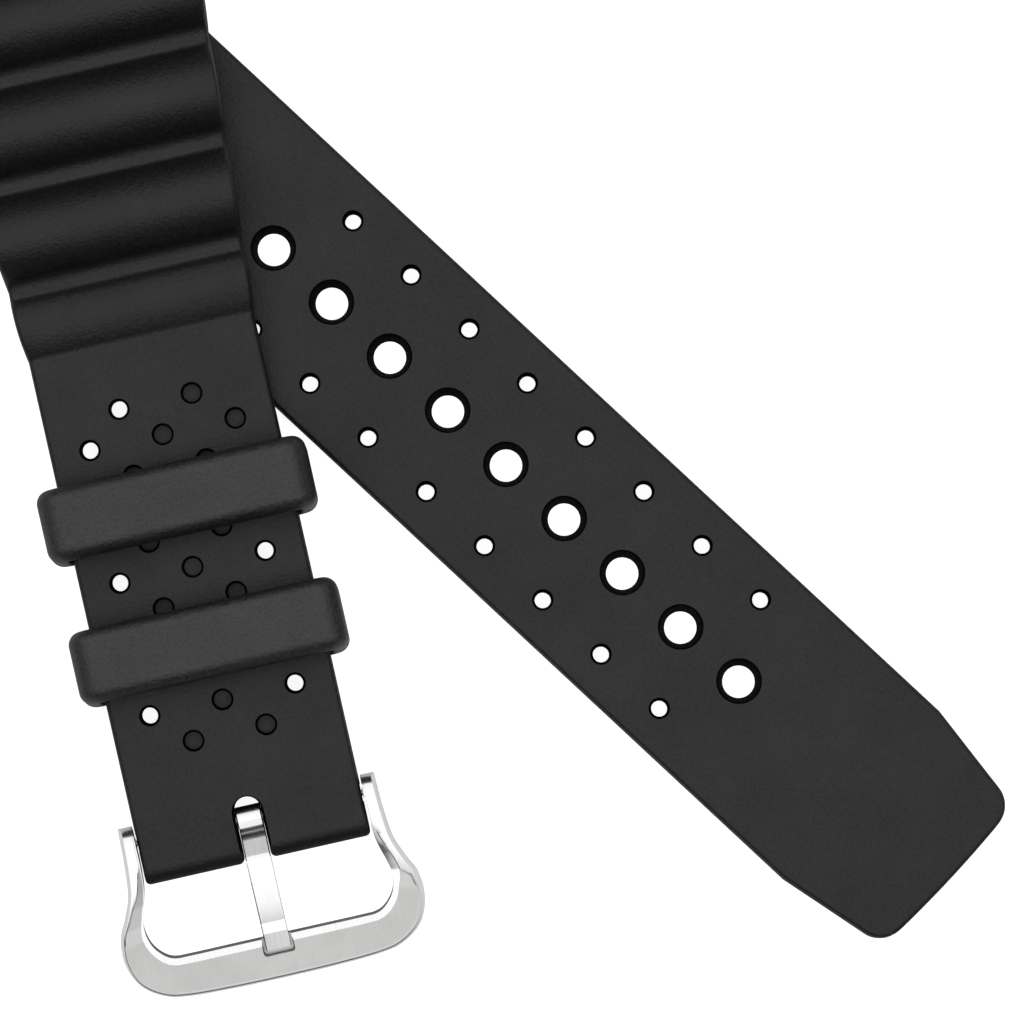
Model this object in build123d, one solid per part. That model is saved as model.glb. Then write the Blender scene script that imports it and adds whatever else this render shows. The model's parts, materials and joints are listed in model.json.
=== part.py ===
from build123d import *
from math import asin, cos, degrees, radians, sin, tan
import os

# Two-piece rubber dive strap. All lengths are in millimetres and all angles in degrees.
# Each half is shaped in its own frame: X runs across the strap, Y along it, and the
# underside of the flat zone is at Z zero. Steel pieces are shaped about their bar's axis.

# Number of sides of small round forms, which keeps them light
SMALL_SIDES = 10

# Rubber, both halves
STRAP_WIDTH = 19.7
STRAP_THICKNESS = 2.5
EDGE_BEVEL = 0.35
OVERRUN = 1.0

# Ribbed zone beside the watch, the same on both halves, measured from the lug bar's axis
RIB_COUNT = 4
RIB_PITCH = 9.0
RIB_HEIGHT = 4.6
LAST_RIB_HEIGHT = 3.7
LAST_RIB_LENGTH = 6.2
VALLEY_HEIGHT = 2.3
VALLEY_SHARE = 0.24
ARCH_HEIGHT = 0.9
ARCH_FOOT = 2.0
RIB_SIDE_BULGE = 0.18
SHOULDER_SETBACK = 5.8

# Lug end, which fits between the horns of the watch
LUG_WIDTH = 22.0
LUG_SIDE_GAP = 0.15
LUG_END_RADIUS = 2.2
SHOULDER_OUT = 0.9

# Buckle half
BUCKLE_HALF_LENGTH = 81.3
BUCKLE_BAR_SETBACK = 3.7
END_THICKNESS = 3.3
END_SWELL_RUN = 6.0
END_NOSE_RUN = 2.9
END_NOSE_DROP = 1.5
MID_SHARE = 0.5
SLOT_WIDTH = 2.5
SLOT_LENGTH = 5.6
SLOT_MOUTH_RADIUS = 0.5

# Lattice of vents and dimples on the buckle half. Rows count from the buckle end and columns
# from the middle, with the second column to the left at -2. The places in VENTS go right through.
LATTICE_ROWS = 11
VENTS = {(1, -2), (1, 2), (5, -2), (5, 2), (9, 2), (10, 1)}
LATTICE_ROW_PITCH = 2.92
LATTICE_COLUMN_PITCH = 3.2
LATTICE_FIRST_ROW = 7.56
VENT_DIAMETER = 1.4
DIMPLE_DIAMETER = 1.7
DIMPLE_DEPTH = 1.0

# Tail half
TAIL_HALF_LENGTH = 150.0
HOLE_COUNT = 9
HOLE_PITCH = 6.86
HOLE_DIAMETER = 2.8
HOLE_RIM = 0.55
HOLE_LAND = 0.2
FIRST_HOLE_AT = 70.2
SIDE_VENT_OFFSET = 6.4
TIP_TAPER_LENGTH = 10.5
TIP_INSET = 1.65
TIP_CORNER_RADIUS = 1.9
TIP_CROWN = 0.3

# Keepers
KEEPER_LENGTH = 6.35
KEEPER_WALL = 1.5
KEEPER_SIDE_WALL = 1.6
KEEPER_SIDE_GAP = 0.35
KEEPER_UNDER_GAP = 0.3
KEEPER_HEAD_GAP = 0.25
KEEPER_END_RADIUS = 1.9
KEEPER_PLAN_RADIUS = 1.2
KEEPER_EDGE_RADIUS = 1.1
KEEPER_BORE_RADIUS = 0.5
KEEPER_LOWER_AT = 15.5
KEEPER_UPPER_AT = 27.9

# Spring bars
LUG_BAR_DIAMETER = 1.8
BUCKLE_BAR_DIAMETER = 1.4
BAR_WALL = 0.18
BAR_CRIMP = 0.4
TIP_DIAMETER = 0.9
SHANK_DIAMETER = 0.5
TIP_LENGTH = 1.0
TIP_SETBACK = 0.1
TIP_TRAVEL = 1.1
HEAD_LENGTH = 0.8
RUNNING_GAP = 0.05
SPRING_WALL = 0.18

# Buckle frame, measured from the bar's axis
EAR_SIDE_GAP = 0.2
EAR_THICKNESS = 1.25
EAR_RADIUS = 1.55
FRAME_FLARE = 1.95
FRAME_REACH = 14.1
FRAME_THICKNESS = 2.1
FRAME_RISE = 0.2
WAIST_AT = 2.8
WIDEST_SETBACK = 4.7
FRONT_CORNER_RUN = 4.65
FRONT_CROWN = 0.25
CROWN_SLOPE = 0.05
ARM_WIDTH = 2.3
FRONT_BAR_WIDTH = 3.7
WINDOW_WIDEST_SETBACK = 2.8
WINDOW_CORNER_RUN = 2.15
FRAME_BEVEL = 0.3
RECESS_WIDTH = 2.8
RECESS_LENGTH = 1.55
RECESS_DEPTH = 0.8

# Tongue
TONGUE_WIDTH = 2.2
TONGUE_THICKNESS = 0.38
TONGUE_OVERHANG = 1.05
TONGUE_ROOT_RUN = 3.4
TONGUE_TIP_RUN = 1.9
TONGUE_CROWN = 0.3
TONGUE_LEAVES_AT = 30.0
TONGUE_SEAM_AT = 25.0
TONGUE_BEND_RADIUS = 1.2

# How the two halves lie: the tail flat, the buckle half across it
CROSSING_ANGLE = 34.34
KEEPER_TO_TAIL = 0.39
LUG_TO_CROSSING = 47.6
END_LIFT = 1.6
STACK_GAP = 0.3

os.makedirs("parts", exist_ok=True)

# Places worked out from the sizes above
VALLEYS = [SHOULDER_SETBACK + RIB_PITCH * count for count in range(RIB_COUNT)]
CREASE = VALLEYS[-1] + LAST_RIB_LENGTH
LUG_END_WIDTH = LUG_WIDTH - 2 * LUG_SIDE_GAP
SHOULDER_WIDTH = LUG_WIDTH + 2 * SHOULDER_OUT
TIP_WIDTH = STRAP_WIDTH - 2 * TIP_INSET
BUCKLE_END = BUCKLE_HALF_LENGTH + BUCKLE_BAR_SETBACK
MID_HEIGHT = STRAP_THICKNESS / 2
THROUGH = STRAP_THICKNESS + OVERRUN
EAR_GAP = STRAP_WIDTH + 2 * EAR_SIDE_GAP
FRAME_WIDTH = EAR_GAP + 2 * (EAR_THICKNESS + FRAME_FLARE)
FRONT_FLAT_WIDTH = FRAME_WIDTH - 2 * FRONT_CORNER_RUN
WIDEST_AT = FRAME_REACH - WIDEST_SETBACK
WINDOW_WIDTH = FRAME_WIDTH - 2 * ARM_WIDTH
WINDOW_REACH = FRAME_REACH - FRONT_BAR_WIDTH
WINDOW_WIDEST_AT = WINDOW_REACH - WINDOW_WIDEST_SETBACK
WINDOW_FLAT_WIDTH = WINDOW_WIDTH - 2 * WINDOW_CORNER_RUN
TONGUE_REACH = WINDOW_REACH + TONGUE_OVERHANG
HALF_STEP = 0.5
MOSTLY = 0.9
HANGING = (Align.CENTER, Align.CENTER, Align.MAX)
LIE_ANGLE = degrees(asin((RIB_HEIGHT + STACK_GAP - END_LIFT) / BUCKLE_HALF_LENGTH))


# Shapes that both halves share

def slab(outline, half):
    """A flat outline drawn out by the same length on both its sides, as one run."""
    normal = outline.faces()[0].normal_at()
    return Pos(*(normal * -half)) * extrude(outline, 2 * half)


def swing(start, end, share):
    """Two arcs that leave one point level and reach another level, as a wave's flank does."""
    first, last = Vector(*start), Vector(*end)
    meeting = first + (last - first) * share
    along = Vector(last.X - first.X, 0)
    return [
        TangentArc(first, meeting, tangent=along),
        TangentArc(last, meeting, tangent=along * -1),
    ]


def rib_tops():
    """The upper side of the ribbed zone, from above the lug bar to the crease."""
    lug_top = 2 * LUG_END_RADIUS
    shoulder = VALLEYS[0] - RIB_PITCH / 2
    edges = [Line((0, lug_top), (shoulder, lug_top))]
    edges += swing((shoulder, lug_top), (VALLEYS[0], VALLEY_HEIGHT), 1 - VALLEY_SHARE)
    for valley in VALLEYS[:-1]:
        crest = (valley + RIB_PITCH / 2, RIB_HEIGHT)
        edges += swing((valley, VALLEY_HEIGHT), crest, VALLEY_SHARE)
        edges += swing(crest, (valley + RIB_PITCH, VALLEY_HEIGHT), 1 - VALLEY_SHARE)
    crest = (VALLEYS[-1] + LAST_RIB_LENGTH / 2, LAST_RIB_HEIGHT)
    edges += swing((VALLEYS[-1], VALLEY_HEIGHT), crest, VALLEY_SHARE)
    edges += swing(crest, (CREASE, STRAP_THICKNESS), 1 - VALLEY_SHARE)
    return edges


def rib_undersides():
    """The underside of the ribbed zone, with an arch under every rib."""
    edges = []
    foot_start = 0
    for valley, end in zip(VALLEYS, VALLEYS[1:] + [CREASE]):
        start, stop = valley + ARCH_FOOT / 2, end - ARCH_FOOT / 2
        edges.append(Line((foot_start, 0), (start, 0)))
        edges.append(ThreePointArc((start, 0), ((start + stop) / 2, ARCH_HEIGHT), (stop, 0)))
        foot_start = stop
    return edges, foot_start


def lug_nose():
    """The round end about the lug bar."""
    return ThreePointArc((0, 0), (-LUG_END_RADIUS, LUG_END_RADIUS), (0, 2 * LUG_END_RADIUS))


def half_width_at(distance):
    """Half the strap's width in the ribbed zone, which narrows from shoulder to crease."""
    share = (distance - VALLEYS[0]) / (CREASE - VALLEYS[0])
    return (SHOULDER_WIDTH + (STRAP_WIDTH - SHOULDER_WIDTH) * share) / 2


def rib_sides():
    """One side of the ribbed zone seen from above: lug end, shoulder, then a shallow bow per rib."""
    lug_half = LUG_END_WIDTH / 2
    shoulder_half = half_width_at(VALLEYS[0])
    step = shoulder_half - lug_half
    edges = [
        Line((lug_half, -LUG_END_RADIUS), (lug_half, VALLEYS[0] - step)),
        Line((lug_half, VALLEYS[0] - step), (shoulder_half, VALLEYS[0])),
    ]
    for start, stop in zip(VALLEYS, VALLEYS[1:] + [CREASE]):
        middle = (start + stop) / 2
        edges.append(ThreePointArc(
            (half_width_at(start), start),
            (half_width_at(middle) + RIB_SIDE_BULGE, middle),
            (half_width_at(stop), stop),
        ))
    return edges


def both_sides(edges):
    """The edges of one side of a plan, and their mirror images."""
    return edges + [mirror(edge, about=Plane.YZ) for edge in edges]


def strap_blank(profile, plan):
    """The solid whose side view is the profile and whose top view is the plan."""
    side_view = slab(Plane.YZ * make_face(profile), SHOULDER_WIDTH)
    top_view = slab(make_face(plan), 2 * RIB_HEIGHT)
    return side_view & top_view


def eased(strap):
    """The strap with the long upper edges of its flat zone broken."""
    rims = []
    for edge in strap.edges():
        middle = edge.position_at(HALF_STEP)
        lengthwise = abs(edge.tangent_at(HALF_STEP).X) < MOSTLY
        if lengthwise and middle.Y > CREASE and middle.Z > MID_HEIGHT:
            rims.append(edge)
    return chamfer(rims, EDGE_BEVEL)


def cross_bore(radius, along, height):
    """A bore across the strap for a bar."""
    drill = Cylinder(radius, SHOULDER_WIDTH + 2 * OVERRUN)
    return Pos(0, along, height) * Rot(0, 90, 0) * drill


def small_hole(across, along, diameter, depth):
    """A small hole sunk from the upper side."""
    outline = Pos(across, along, STRAP_THICKNESS) * RegularPolygon(diameter / 2, SMALL_SIDES)
    return slab(outline, depth)


# Tail half

def rimmed_hole(along):
    """One of the row of holes for the tongue, a steep funnel above a straight foot."""
    radius = HOLE_DIAMETER / 2
    hole = Pos(0, along, MID_HEIGHT) * Cylinder(radius, STRAP_THICKNESS + 2 * OVERRUN)
    slope = Cone(radius, radius + HOLE_RIM, STRAP_THICKNESS - HOLE_LAND, align=HANGING)
    return hole + Pos(0, along, STRAP_THICKNESS) * slope


def tail_profile():
    """Side view of the tail half."""
    undersides, foot_end = rib_undersides()
    end = TAIL_HALF_LENGTH
    return [lug_nose()] + rib_tops() + undersides + [
        Line((CREASE, STRAP_THICKNESS), (end, STRAP_THICKNESS)),
        Line((end, STRAP_THICKNESS), (end, 0)),
        Line((end, 0), (foot_end, 0)),
    ]


def tail_plan():
    """Top view of the tail half: tapered tip with round corners and a slightly crowned end."""
    half, tip_half = STRAP_WIDTH / 2, TIP_WIDTH / 2
    taper_start = TAIL_HALF_LENGTH - TIP_TAPER_LENGTH
    corner = (tip_half, TAIL_HALF_LENGTH - TIP_CROWN)
    sides = both_sides(rib_sides() + [
        Line((half, CREASE), (half, taper_start)),
        Line((half, taper_start), corner),
    ])
    lug_half = LUG_END_WIDTH / 2
    end = ThreePointArc(corner, (0, TAIL_HALF_LENGTH), (-tip_half, TAIL_HALF_LENGTH - TIP_CROWN))
    back = Line((lug_half, -LUG_END_RADIUS), (-lug_half, -LUG_END_RADIUS))
    return sides + [end, back]


def tail_strap():
    """The long rubber half, with its row of holes and two rows of vents."""
    strap = strap_blank(tail_profile(), tail_plan())
    tip_corners = strap.edges().filter_by(Axis.Z).group_by(Axis.Y)[-1]
    strap = eased(fillet(tip_corners, TIP_CORNER_RADIUS))
    cuts = [cross_bore(LUG_BAR_DIAMETER / 2 + RUNNING_GAP, 0, LUG_END_RADIUS)]
    for count in range(HOLE_COUNT):
        cuts.append(rimmed_hole(FIRST_HOLE_AT + HOLE_PITCH * count))
    for count in range(HOLE_COUNT - 1):
        along = FIRST_HOLE_AT + HOLE_PITCH * (count + HALF_STEP)
        for side in (-1, 1):
            cuts.append(small_hole(side * SIDE_VENT_OFFSET, along, VENT_DIAMETER, THROUGH))
    return strap - cuts


# Buckle half

def end_swell():
    """Upper and lower sides of the swollen end that holds the buckle's bar."""
    start = BUCKLE_HALF_LENGTH - END_SWELL_RUN
    high, low = MID_HEIGHT + END_THICKNESS / 2, MID_HEIGHT - END_THICKNESS / 2
    nose_start = BUCKLE_END - END_NOSE_RUN
    nose = (BUCKLE_END, high - END_NOSE_DROP)
    under_start = BUCKLE_END - (nose[1] - low)
    upper = swing((start, STRAP_THICKNESS), (BUCKLE_HALF_LENGTH, high), MID_SHARE)
    lower = swing((start, 0), (BUCKLE_HALF_LENGTH, low), MID_SHARE)
    return upper + lower + [
        Line((BUCKLE_HALF_LENGTH, high), (nose_start, high)),
        Line((BUCKLE_HALF_LENGTH, low), (under_start, low)),
        TangentArc((nose_start, high), nose, tangent=(1, 0)),
        TangentArc((under_start, low), nose, tangent=(1, 0)),
    ]


def buckle_half_profile():
    """Side view of the buckle half."""
    undersides, foot_end = rib_undersides()
    swell_start = BUCKLE_HALF_LENGTH - END_SWELL_RUN
    return [lug_nose()] + rib_tops() + undersides + end_swell() + [
        Line((CREASE, STRAP_THICKNESS), (swell_start, STRAP_THICKNESS)),
        Line((foot_end, 0), (swell_start, 0)),
    ]


def buckle_half_plan():
    """Top view of the buckle half."""
    half, lug_half = STRAP_WIDTH / 2, LUG_END_WIDTH / 2
    return both_sides(rib_sides() + [Line((half, CREASE), (half, BUCKLE_END))]) + [
        Line((half, BUCKLE_END), (-half, BUCKLE_END)),
        Line((lug_half, -LUG_END_RADIUS), (-lug_half, -LUG_END_RADIUS)),
    ]


def lattice_places():
    """Across, along and kind of each place in the lattice, row by row from the buckle end.

    Rows take turns between two places and three.
    """
    places = []
    for row in range(LATTICE_ROWS):
        along = BUCKLE_HALF_LENGTH - LATTICE_FIRST_ROW - LATTICE_ROW_PITCH * row
        columns = (-2, 0, 2) if row % 2 else (-1, 1)
        for column in columns:
            kind = "vent" if (row, column) in VENTS else "dimple"
            places.append((LATTICE_COLUMN_PITCH * column, along, kind))
    return places


def tongue_slot():
    """The slot at the buckle end, round inside and with rounded corners at its mouth."""
    half, wide = SLOT_WIDTH / 2, SLOT_WIDTH / 2 + SLOT_MOUTH_RADIUS
    inside, mouth = BUCKLE_END - SLOT_LENGTH + half, BUCKLE_END - SLOT_MOUTH_RADIUS
    outside = BUCKLE_END + OVERRUN
    outline = both_sides([
        Line((half, inside), (half, mouth)),
        TangentArc((half, mouth), (wide, BUCKLE_END), tangent=(0, 1)),
        Line((wide, BUCKLE_END), (wide, outside)),
    ])
    outline.append(ThreePointArc((half, inside), (0, inside - half), (-half, inside)))
    outline.append(Line((wide, outside), (-wide, outside)))
    return Pos(0, 0, MID_HEIGHT) * slab(make_face(outline), END_THICKNESS)


def buckle_strap():
    """The short rubber half, with its lattice, its slot and a bore at each end."""
    strap = eased(strap_blank(buckle_half_profile(), buckle_half_plan()))
    cuts = [
        cross_bore(LUG_BAR_DIAMETER / 2 + RUNNING_GAP, 0, LUG_END_RADIUS),
        cross_bore(BUCKLE_BAR_DIAMETER / 2 + RUNNING_GAP, BUCKLE_HALF_LENGTH, MID_HEIGHT),
        tongue_slot(),
    ]
    for across, along, kind in lattice_places():
        if kind == "vent":
            cuts.append(small_hole(across, along, VENT_DIAMETER, THROUGH))
        else:
            cuts.append(small_hole(across, along, DIMPLE_DIAMETER, DIMPLE_DEPTH))
    return strap - cuts


# Keepers

def keeper():
    """A moulded loop round the strap, rounded in all three views, with room above for the tail."""
    bore_width = STRAP_WIDTH + 2 * KEEPER_SIDE_GAP
    bore_height = KEEPER_UNDER_GAP + 2 * STRAP_THICKNESS + KEEPER_HEAD_GAP
    width, height = bore_width + 2 * KEEPER_SIDE_WALL, bore_height + 2 * KEEPER_WALL
    views = [
        Plane.XZ * RectangleRounded(width, height, KEEPER_END_RADIUS),
        Plane.XY * RectangleRounded(width, KEEPER_LENGTH, KEEPER_PLAN_RADIUS),
        Plane.YZ * RectangleRounded(KEEPER_LENGTH, height, KEEPER_EDGE_RADIUS),
    ]
    body = slab(views[0], width)
    for view in views[1:]:
        body = body & slab(view, width)
    bore = Plane.XZ * RectangleRounded(bore_width, bore_height, KEEPER_BORE_RADIUS)
    loop = body - slab(bore, KEEPER_LENGTH)
    return Pos(0, 0, bore_height / 2 - KEEPER_UNDER_GAP) * loop


# Spring bars, along X with their middle at the origin

def tube_half(span):
    """Half the length of a bar's tube, which leaves the tips room to be pressed in."""
    return span / 2 - TIP_SETBACK - TIP_TRAVEL


def bar_tube(diameter, span):
    """A thin tube, crimped in at both ends to hold the tips."""
    half = tube_half(span)
    inside = Cylinder(diameter / 2 - BAR_WALL, 2 * (half - BAR_CRIMP))
    through = Cylinder(SHANK_DIAMETER / 2 + RUNNING_GAP, 2 * half + OVERRUN)
    tube = Cylinder(diameter / 2, 2 * half) - inside - through
    return Rot(0, 90, 0) * tube


def bar_tip(diameter, span):
    """The tip at the +X end: a head inside the tube, a shank through its crimp and the tip."""
    head, shank, tip = diameter / 2 - BAR_WALL - RUNNING_GAP, SHANK_DIAMETER / 2, TIP_DIAMETER / 2
    crimp = tube_half(span) - BAR_CRIMP
    step, end = span / 2 - TIP_SETBACK, span / 2 + TIP_LENGTH
    outline = Polyline(
        (crimp - HEAD_LENGTH, 0), (crimp - HEAD_LENGTH, head), (crimp, head), (crimp, shank),
        (step, shank), (step, tip), (end, tip), (end, 0), close=True,
    )
    return revolve(make_face(outline), Axis.X)


def bar_spring(diameter, span):
    """The spring between the two heads, as one sleeve of its size."""
    half = tube_half(span) - BAR_CRIMP - HEAD_LENGTH
    outer = diameter / 2 - BAR_WALL - RUNNING_GAP
    wire_zone = RegularPolygon(outer, SMALL_SIDES) - RegularPolygon(outer - SPRING_WALL, SMALL_SIDES)
    return slab(Plane.YZ * wire_zone, half)


def spring_bar(name, diameter, span):
    """The four pieces of one spring bar, by node name."""
    tip = bar_tip(diameter, span)
    return {
        name + "_tube": bar_tube(diameter, span),
        name + "_spring": bar_spring(diameter, span),
        name + "_tip_right": tip,
        name + "_tip_left": Rot(0, 0, 180) * tip,
    }


# Buckle, with its bar's axis along X through the origin and its front bar towards +Y

def frame_outside():
    """The outer side of the frame's right half, from the ear's end to the front's middle."""
    ear = EAR_GAP / 2 + EAR_THICKNESS
    widest, flat = FRAME_WIDTH / 2, FRONT_FLAT_WIDTH / 2
    corner = FRAME_REACH - FRONT_CROWN
    waist_middle = ((ear + widest) / 2, (WAIST_AT + WIDEST_AT) / 2)
    return [
        Line((ear, -EAR_RADIUS), (ear, WAIST_AT)),
        Spline((ear, WAIST_AT), waist_middle, (widest, WIDEST_AT), tangents=[(0, 1), (0, 1)]),
        Spline((widest, WIDEST_AT), (flat, corner), tangents=[(0, 1), (-1, CROWN_SLOPE)]),
    ]


def frame_inside():
    """The window's right half, from the ear's end to the front bar."""
    gap, widest, flat = EAR_GAP / 2, WINDOW_WIDTH / 2, WINDOW_FLAT_WIDTH / 2
    return [
        Line((gap, -EAR_RADIUS), (gap, WAIST_AT)),
        Spline((gap, WAIST_AT), (widest, WINDOW_WIDEST_AT), tangents=[(0, 1), (0, 1)]),
        Spline((widest, WINDOW_WIDEST_AT), (flat, WINDOW_REACH), tangents=[(0, 1), (-1, 0)]),
    ]


def frame_plan():
    """The frame seen from above: two ears that flare into a wide front bar."""
    half = frame_outside() + frame_inside()
    ear, gap, flat = EAR_GAP / 2 + EAR_THICKNESS, EAR_GAP / 2, FRONT_FLAT_WIDTH / 2
    front = FRAME_REACH - FRONT_CROWN
    window = WINDOW_FLAT_WIDTH / 2
    return make_face(both_sides(half + [Line((gap, -EAR_RADIUS), (ear, -EAR_RADIUS))]) + [
        ThreePointArc((flat, front), (0, FRAME_REACH), (-flat, front)),
        Line((window, WINDOW_REACH), (-window, WINDOW_REACH)),
    ])


def frame_profile():
    """The frame seen from the side: round ears, arms that thin out, and a front bar."""
    high, low = FRAME_RISE + FRAME_THICKNESS / 2, FRAME_RISE - FRAME_THICKNESS / 2
    front = FRAME_REACH + OVERRUN
    return make_face([
        ThreePointArc((0, EAR_RADIUS), (-EAR_RADIUS, 0), (0, -EAR_RADIUS)),
        *swing((0, EAR_RADIUS), (WINDOW_WIDEST_AT, high), MID_SHARE),
        *swing((0, -EAR_RADIUS), (WINDOW_WIDEST_AT, low), MID_SHARE),
        Line((WINDOW_WIDEST_AT, high), (front, high)),
        Line((WINDOW_WIDEST_AT, low), (front, low)),
        Line((front, high), (front, low)),
    ])


def frame_rims(frame):
    """The frame's upper edges, without the upright ones and those that run across an arm."""
    rims = []
    for edge in frame.edges():
        middle, run = edge.position_at(HALF_STEP), edge.tangent_at(HALF_STEP)
        straight = edge.geom_type == GeomType.LINE
        upright = straight and abs(run.Z) > MOSTLY
        across_arm = straight and abs(run.X) > MOSTLY and abs(middle.X) > EAR_GAP / 2
        if middle.Z > FRAME_RISE and not (upright or across_arm):
            rims.append(edge)
    return rims


def buckle_frame():
    """The steel frame, with a hole in each ear and a recess for the tongue's tip."""
    high = FRAME_RISE + FRAME_THICKNESS / 2
    plan = slab(frame_plan(), 2 * EAR_RADIUS)
    side = slab(Plane.YZ * frame_profile(), FRAME_WIDTH)
    frame = chamfer(frame_rims(plan & side), FRAME_BEVEL)
    ear_holes = Rot(0, 90, 0) * Cylinder(TIP_DIAMETER / 2 + RUNNING_GAP, FRAME_WIDTH)
    recess_end = WINDOW_REACH + RECESS_LENGTH
    recess = Pos(0, recess_end - RECESS_LENGTH, high - RECESS_DEPTH / 2) * Box(
        RECESS_WIDTH, 2 * RECESS_LENGTH, RECESS_DEPTH
    )
    return frame - ear_holes - recess


def tongue_path():
    """Middle line of the tongue's strip: round the bar, up over its root, along, and to its tip."""
    radius = BUCKLE_BAR_DIAMETER / 2 + RUNNING_GAP + TONGUE_THICKNESS / 2
    leave = radians(TONGUE_LEAVES_AT)
    start = (radius * cos(radians(TONGUE_SEAM_AT)), radius * sin(radians(TONGUE_SEAM_AT)))
    exit_point = (radius * sin(leave), -radius * cos(leave))
    tip_height = FRAME_RISE + FRAME_THICKNESS / 2 - RECESS_DEPTH + RUNNING_GAP + TONGUE_THICKNESS / 2
    rise = TONGUE_ROOT_RUN - exit_point[0]
    root = (TONGUE_ROOT_RUN, exit_point[1] + rise * sin(leave) / cos(leave))
    bend = (TONGUE_REACH - TONGUE_TIP_RUN, tip_height + TONGUE_CROWN)
    tip = (TONGUE_REACH, tip_height)
    roll = ThreePointArc(start, (-radius, 0), exit_point)
    strip = FilletPolyline(exit_point, root, bend, tip, radius=TONGUE_BEND_RADIUS)
    return Wire([roll, *strip.edges()])


def buckle_tongue():
    """The tongue, a bent strip rolled round the bar."""
    outline = make_face(offset(tongue_path(), TONGUE_THICKNESS / 2, side=Side.BOTH))
    return slab(Plane.YZ * outline, TONGUE_WIDTH / 2)


# Placing: the buckle's pieces about its bar, that bar in the strap, and the halves across each other

def frame_pitch():
    """How far the frame leans down from level for its front bar to rest on the floor."""
    low = FRAME_THICKNESS / 2 - FRAME_RISE
    reach = (FRAME_REACH ** 2 + low ** 2) ** HALF_STEP
    bar_height = END_LIFT + MID_HEIGHT * cos(radians(LIE_ANGLE))
    return degrees(asin(bar_height / reach) - asin(low / reach))


def buckle_half():
    """All pieces of the buckle half in its strap's frame, by node name."""
    lug_bar = Pos(0, 0, LUG_END_RADIUS)
    buckle_bar = Pos(0, BUCKLE_HALF_LENGTH, MID_HEIGHT)
    lean = Rot(LIE_ANGLE - frame_pitch(), 0, 0)
    pieces = {
        "buckle_strap": buckle_strap(),
        "keeper_upper": Pos(0, BUCKLE_HALF_LENGTH - KEEPER_UPPER_AT, 0) * keeper(),
        "keeper_lower": Pos(0, BUCKLE_HALF_LENGTH - KEEPER_LOWER_AT, 0) * keeper(),
        "buckle_frame": buckle_bar * lean * buckle_frame(),
        "buckle_tongue": buckle_bar * lean * buckle_tongue(),
    }
    for name, piece in spring_bar("head_bar", LUG_BAR_DIAMETER, LUG_WIDTH).items():
        pieces[name] = lug_bar * piece
    for name, piece in spring_bar("buckle_bar", BUCKLE_BAR_DIAMETER, EAR_GAP).items():
        pieces[name] = buckle_bar * piece
    return pieces


def tail_half():
    """All pieces of the tail half in its strap's frame, by node name."""
    pieces = {"tail_strap": tail_strap()}
    for name, piece in spring_bar("tail_bar", LUG_BAR_DIAMETER, LUG_WIDTH).items():
        pieces[name] = Pos(0, 0, LUG_END_RADIUS) * piece
    return pieces


def bar_to_crossing():
    """From the buckle's bar to where the halves cross, so that the upper keeper clears the tail."""
    keeper_half = STRAP_WIDTH / 2 + KEEPER_SIDE_GAP + KEEPER_SIDE_WALL
    across_tail = STRAP_WIDTH / 2 / sin(radians(CROSSING_ANGLE))
    past_keeper = keeper_half / tan(radians(CROSSING_ANGLE))
    return KEEPER_UPPER_AT + KEEPER_LENGTH / 2 + KEEPER_TO_TAIL + across_tail + past_keeper


def lying():
    """Every piece as the strap lies: the tail flat, the buckle half across and over it."""
    back = BUCKLE_HALF_LENGTH - bar_to_crossing()
    buckle_place = Pos(0, back * cos(radians(LIE_ANGLE)), RIB_HEIGHT + STACK_GAP)
    buckle_place *= Rot(LIE_ANGLE, 0, 0) * Rot(0, 0, 180)
    tail_place = Rot(0, 0, 180 + CROSSING_ANGLE) * Pos(0, -LUG_TO_CROSSING, 0)
    pieces = {name: buckle_place * piece for name, piece in buckle_half().items()}
    pieces.update({name: tail_place * piece for name, piece in tail_half().items()})
    return pieces


def centred(pieces):
    """The pieces moved together, so that the middle of their base is at the origin."""
    box = Compound(list(pieces.values())).bounding_box()
    shift = Pos(-box.center().X, -box.center().Y, -box.min.Z)
    return {name: shift * piece for name, piece in pieces.items()}


for node, shape in centred(lying()).items():
    export_step(shape, f"parts/{node}.step")
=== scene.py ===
# %% [markdown]
# # A rubber dive strap
# The strap is two rubber halves, two loose keepers, a steel buckle and three sprung bars. The solids
# of every piece come in as a frame that never moves. This script makes a finely shaped piece over
# each of them, gives it a finish, and sets up a floor, lamps and a camera.
#
# Every piece is shaped in its own half's frame, in millimetres, where X runs across the strap, Y from
# the watch's end to the free end, and Z up from the underside. That keeps the numbers plain. One
# matrix then carries the finished mesh to its place in the row's frame, in metres.

# %% Load the frame
import json
import math
import bmesh
import bpy
from mathutils import Matrix, Vector

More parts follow.
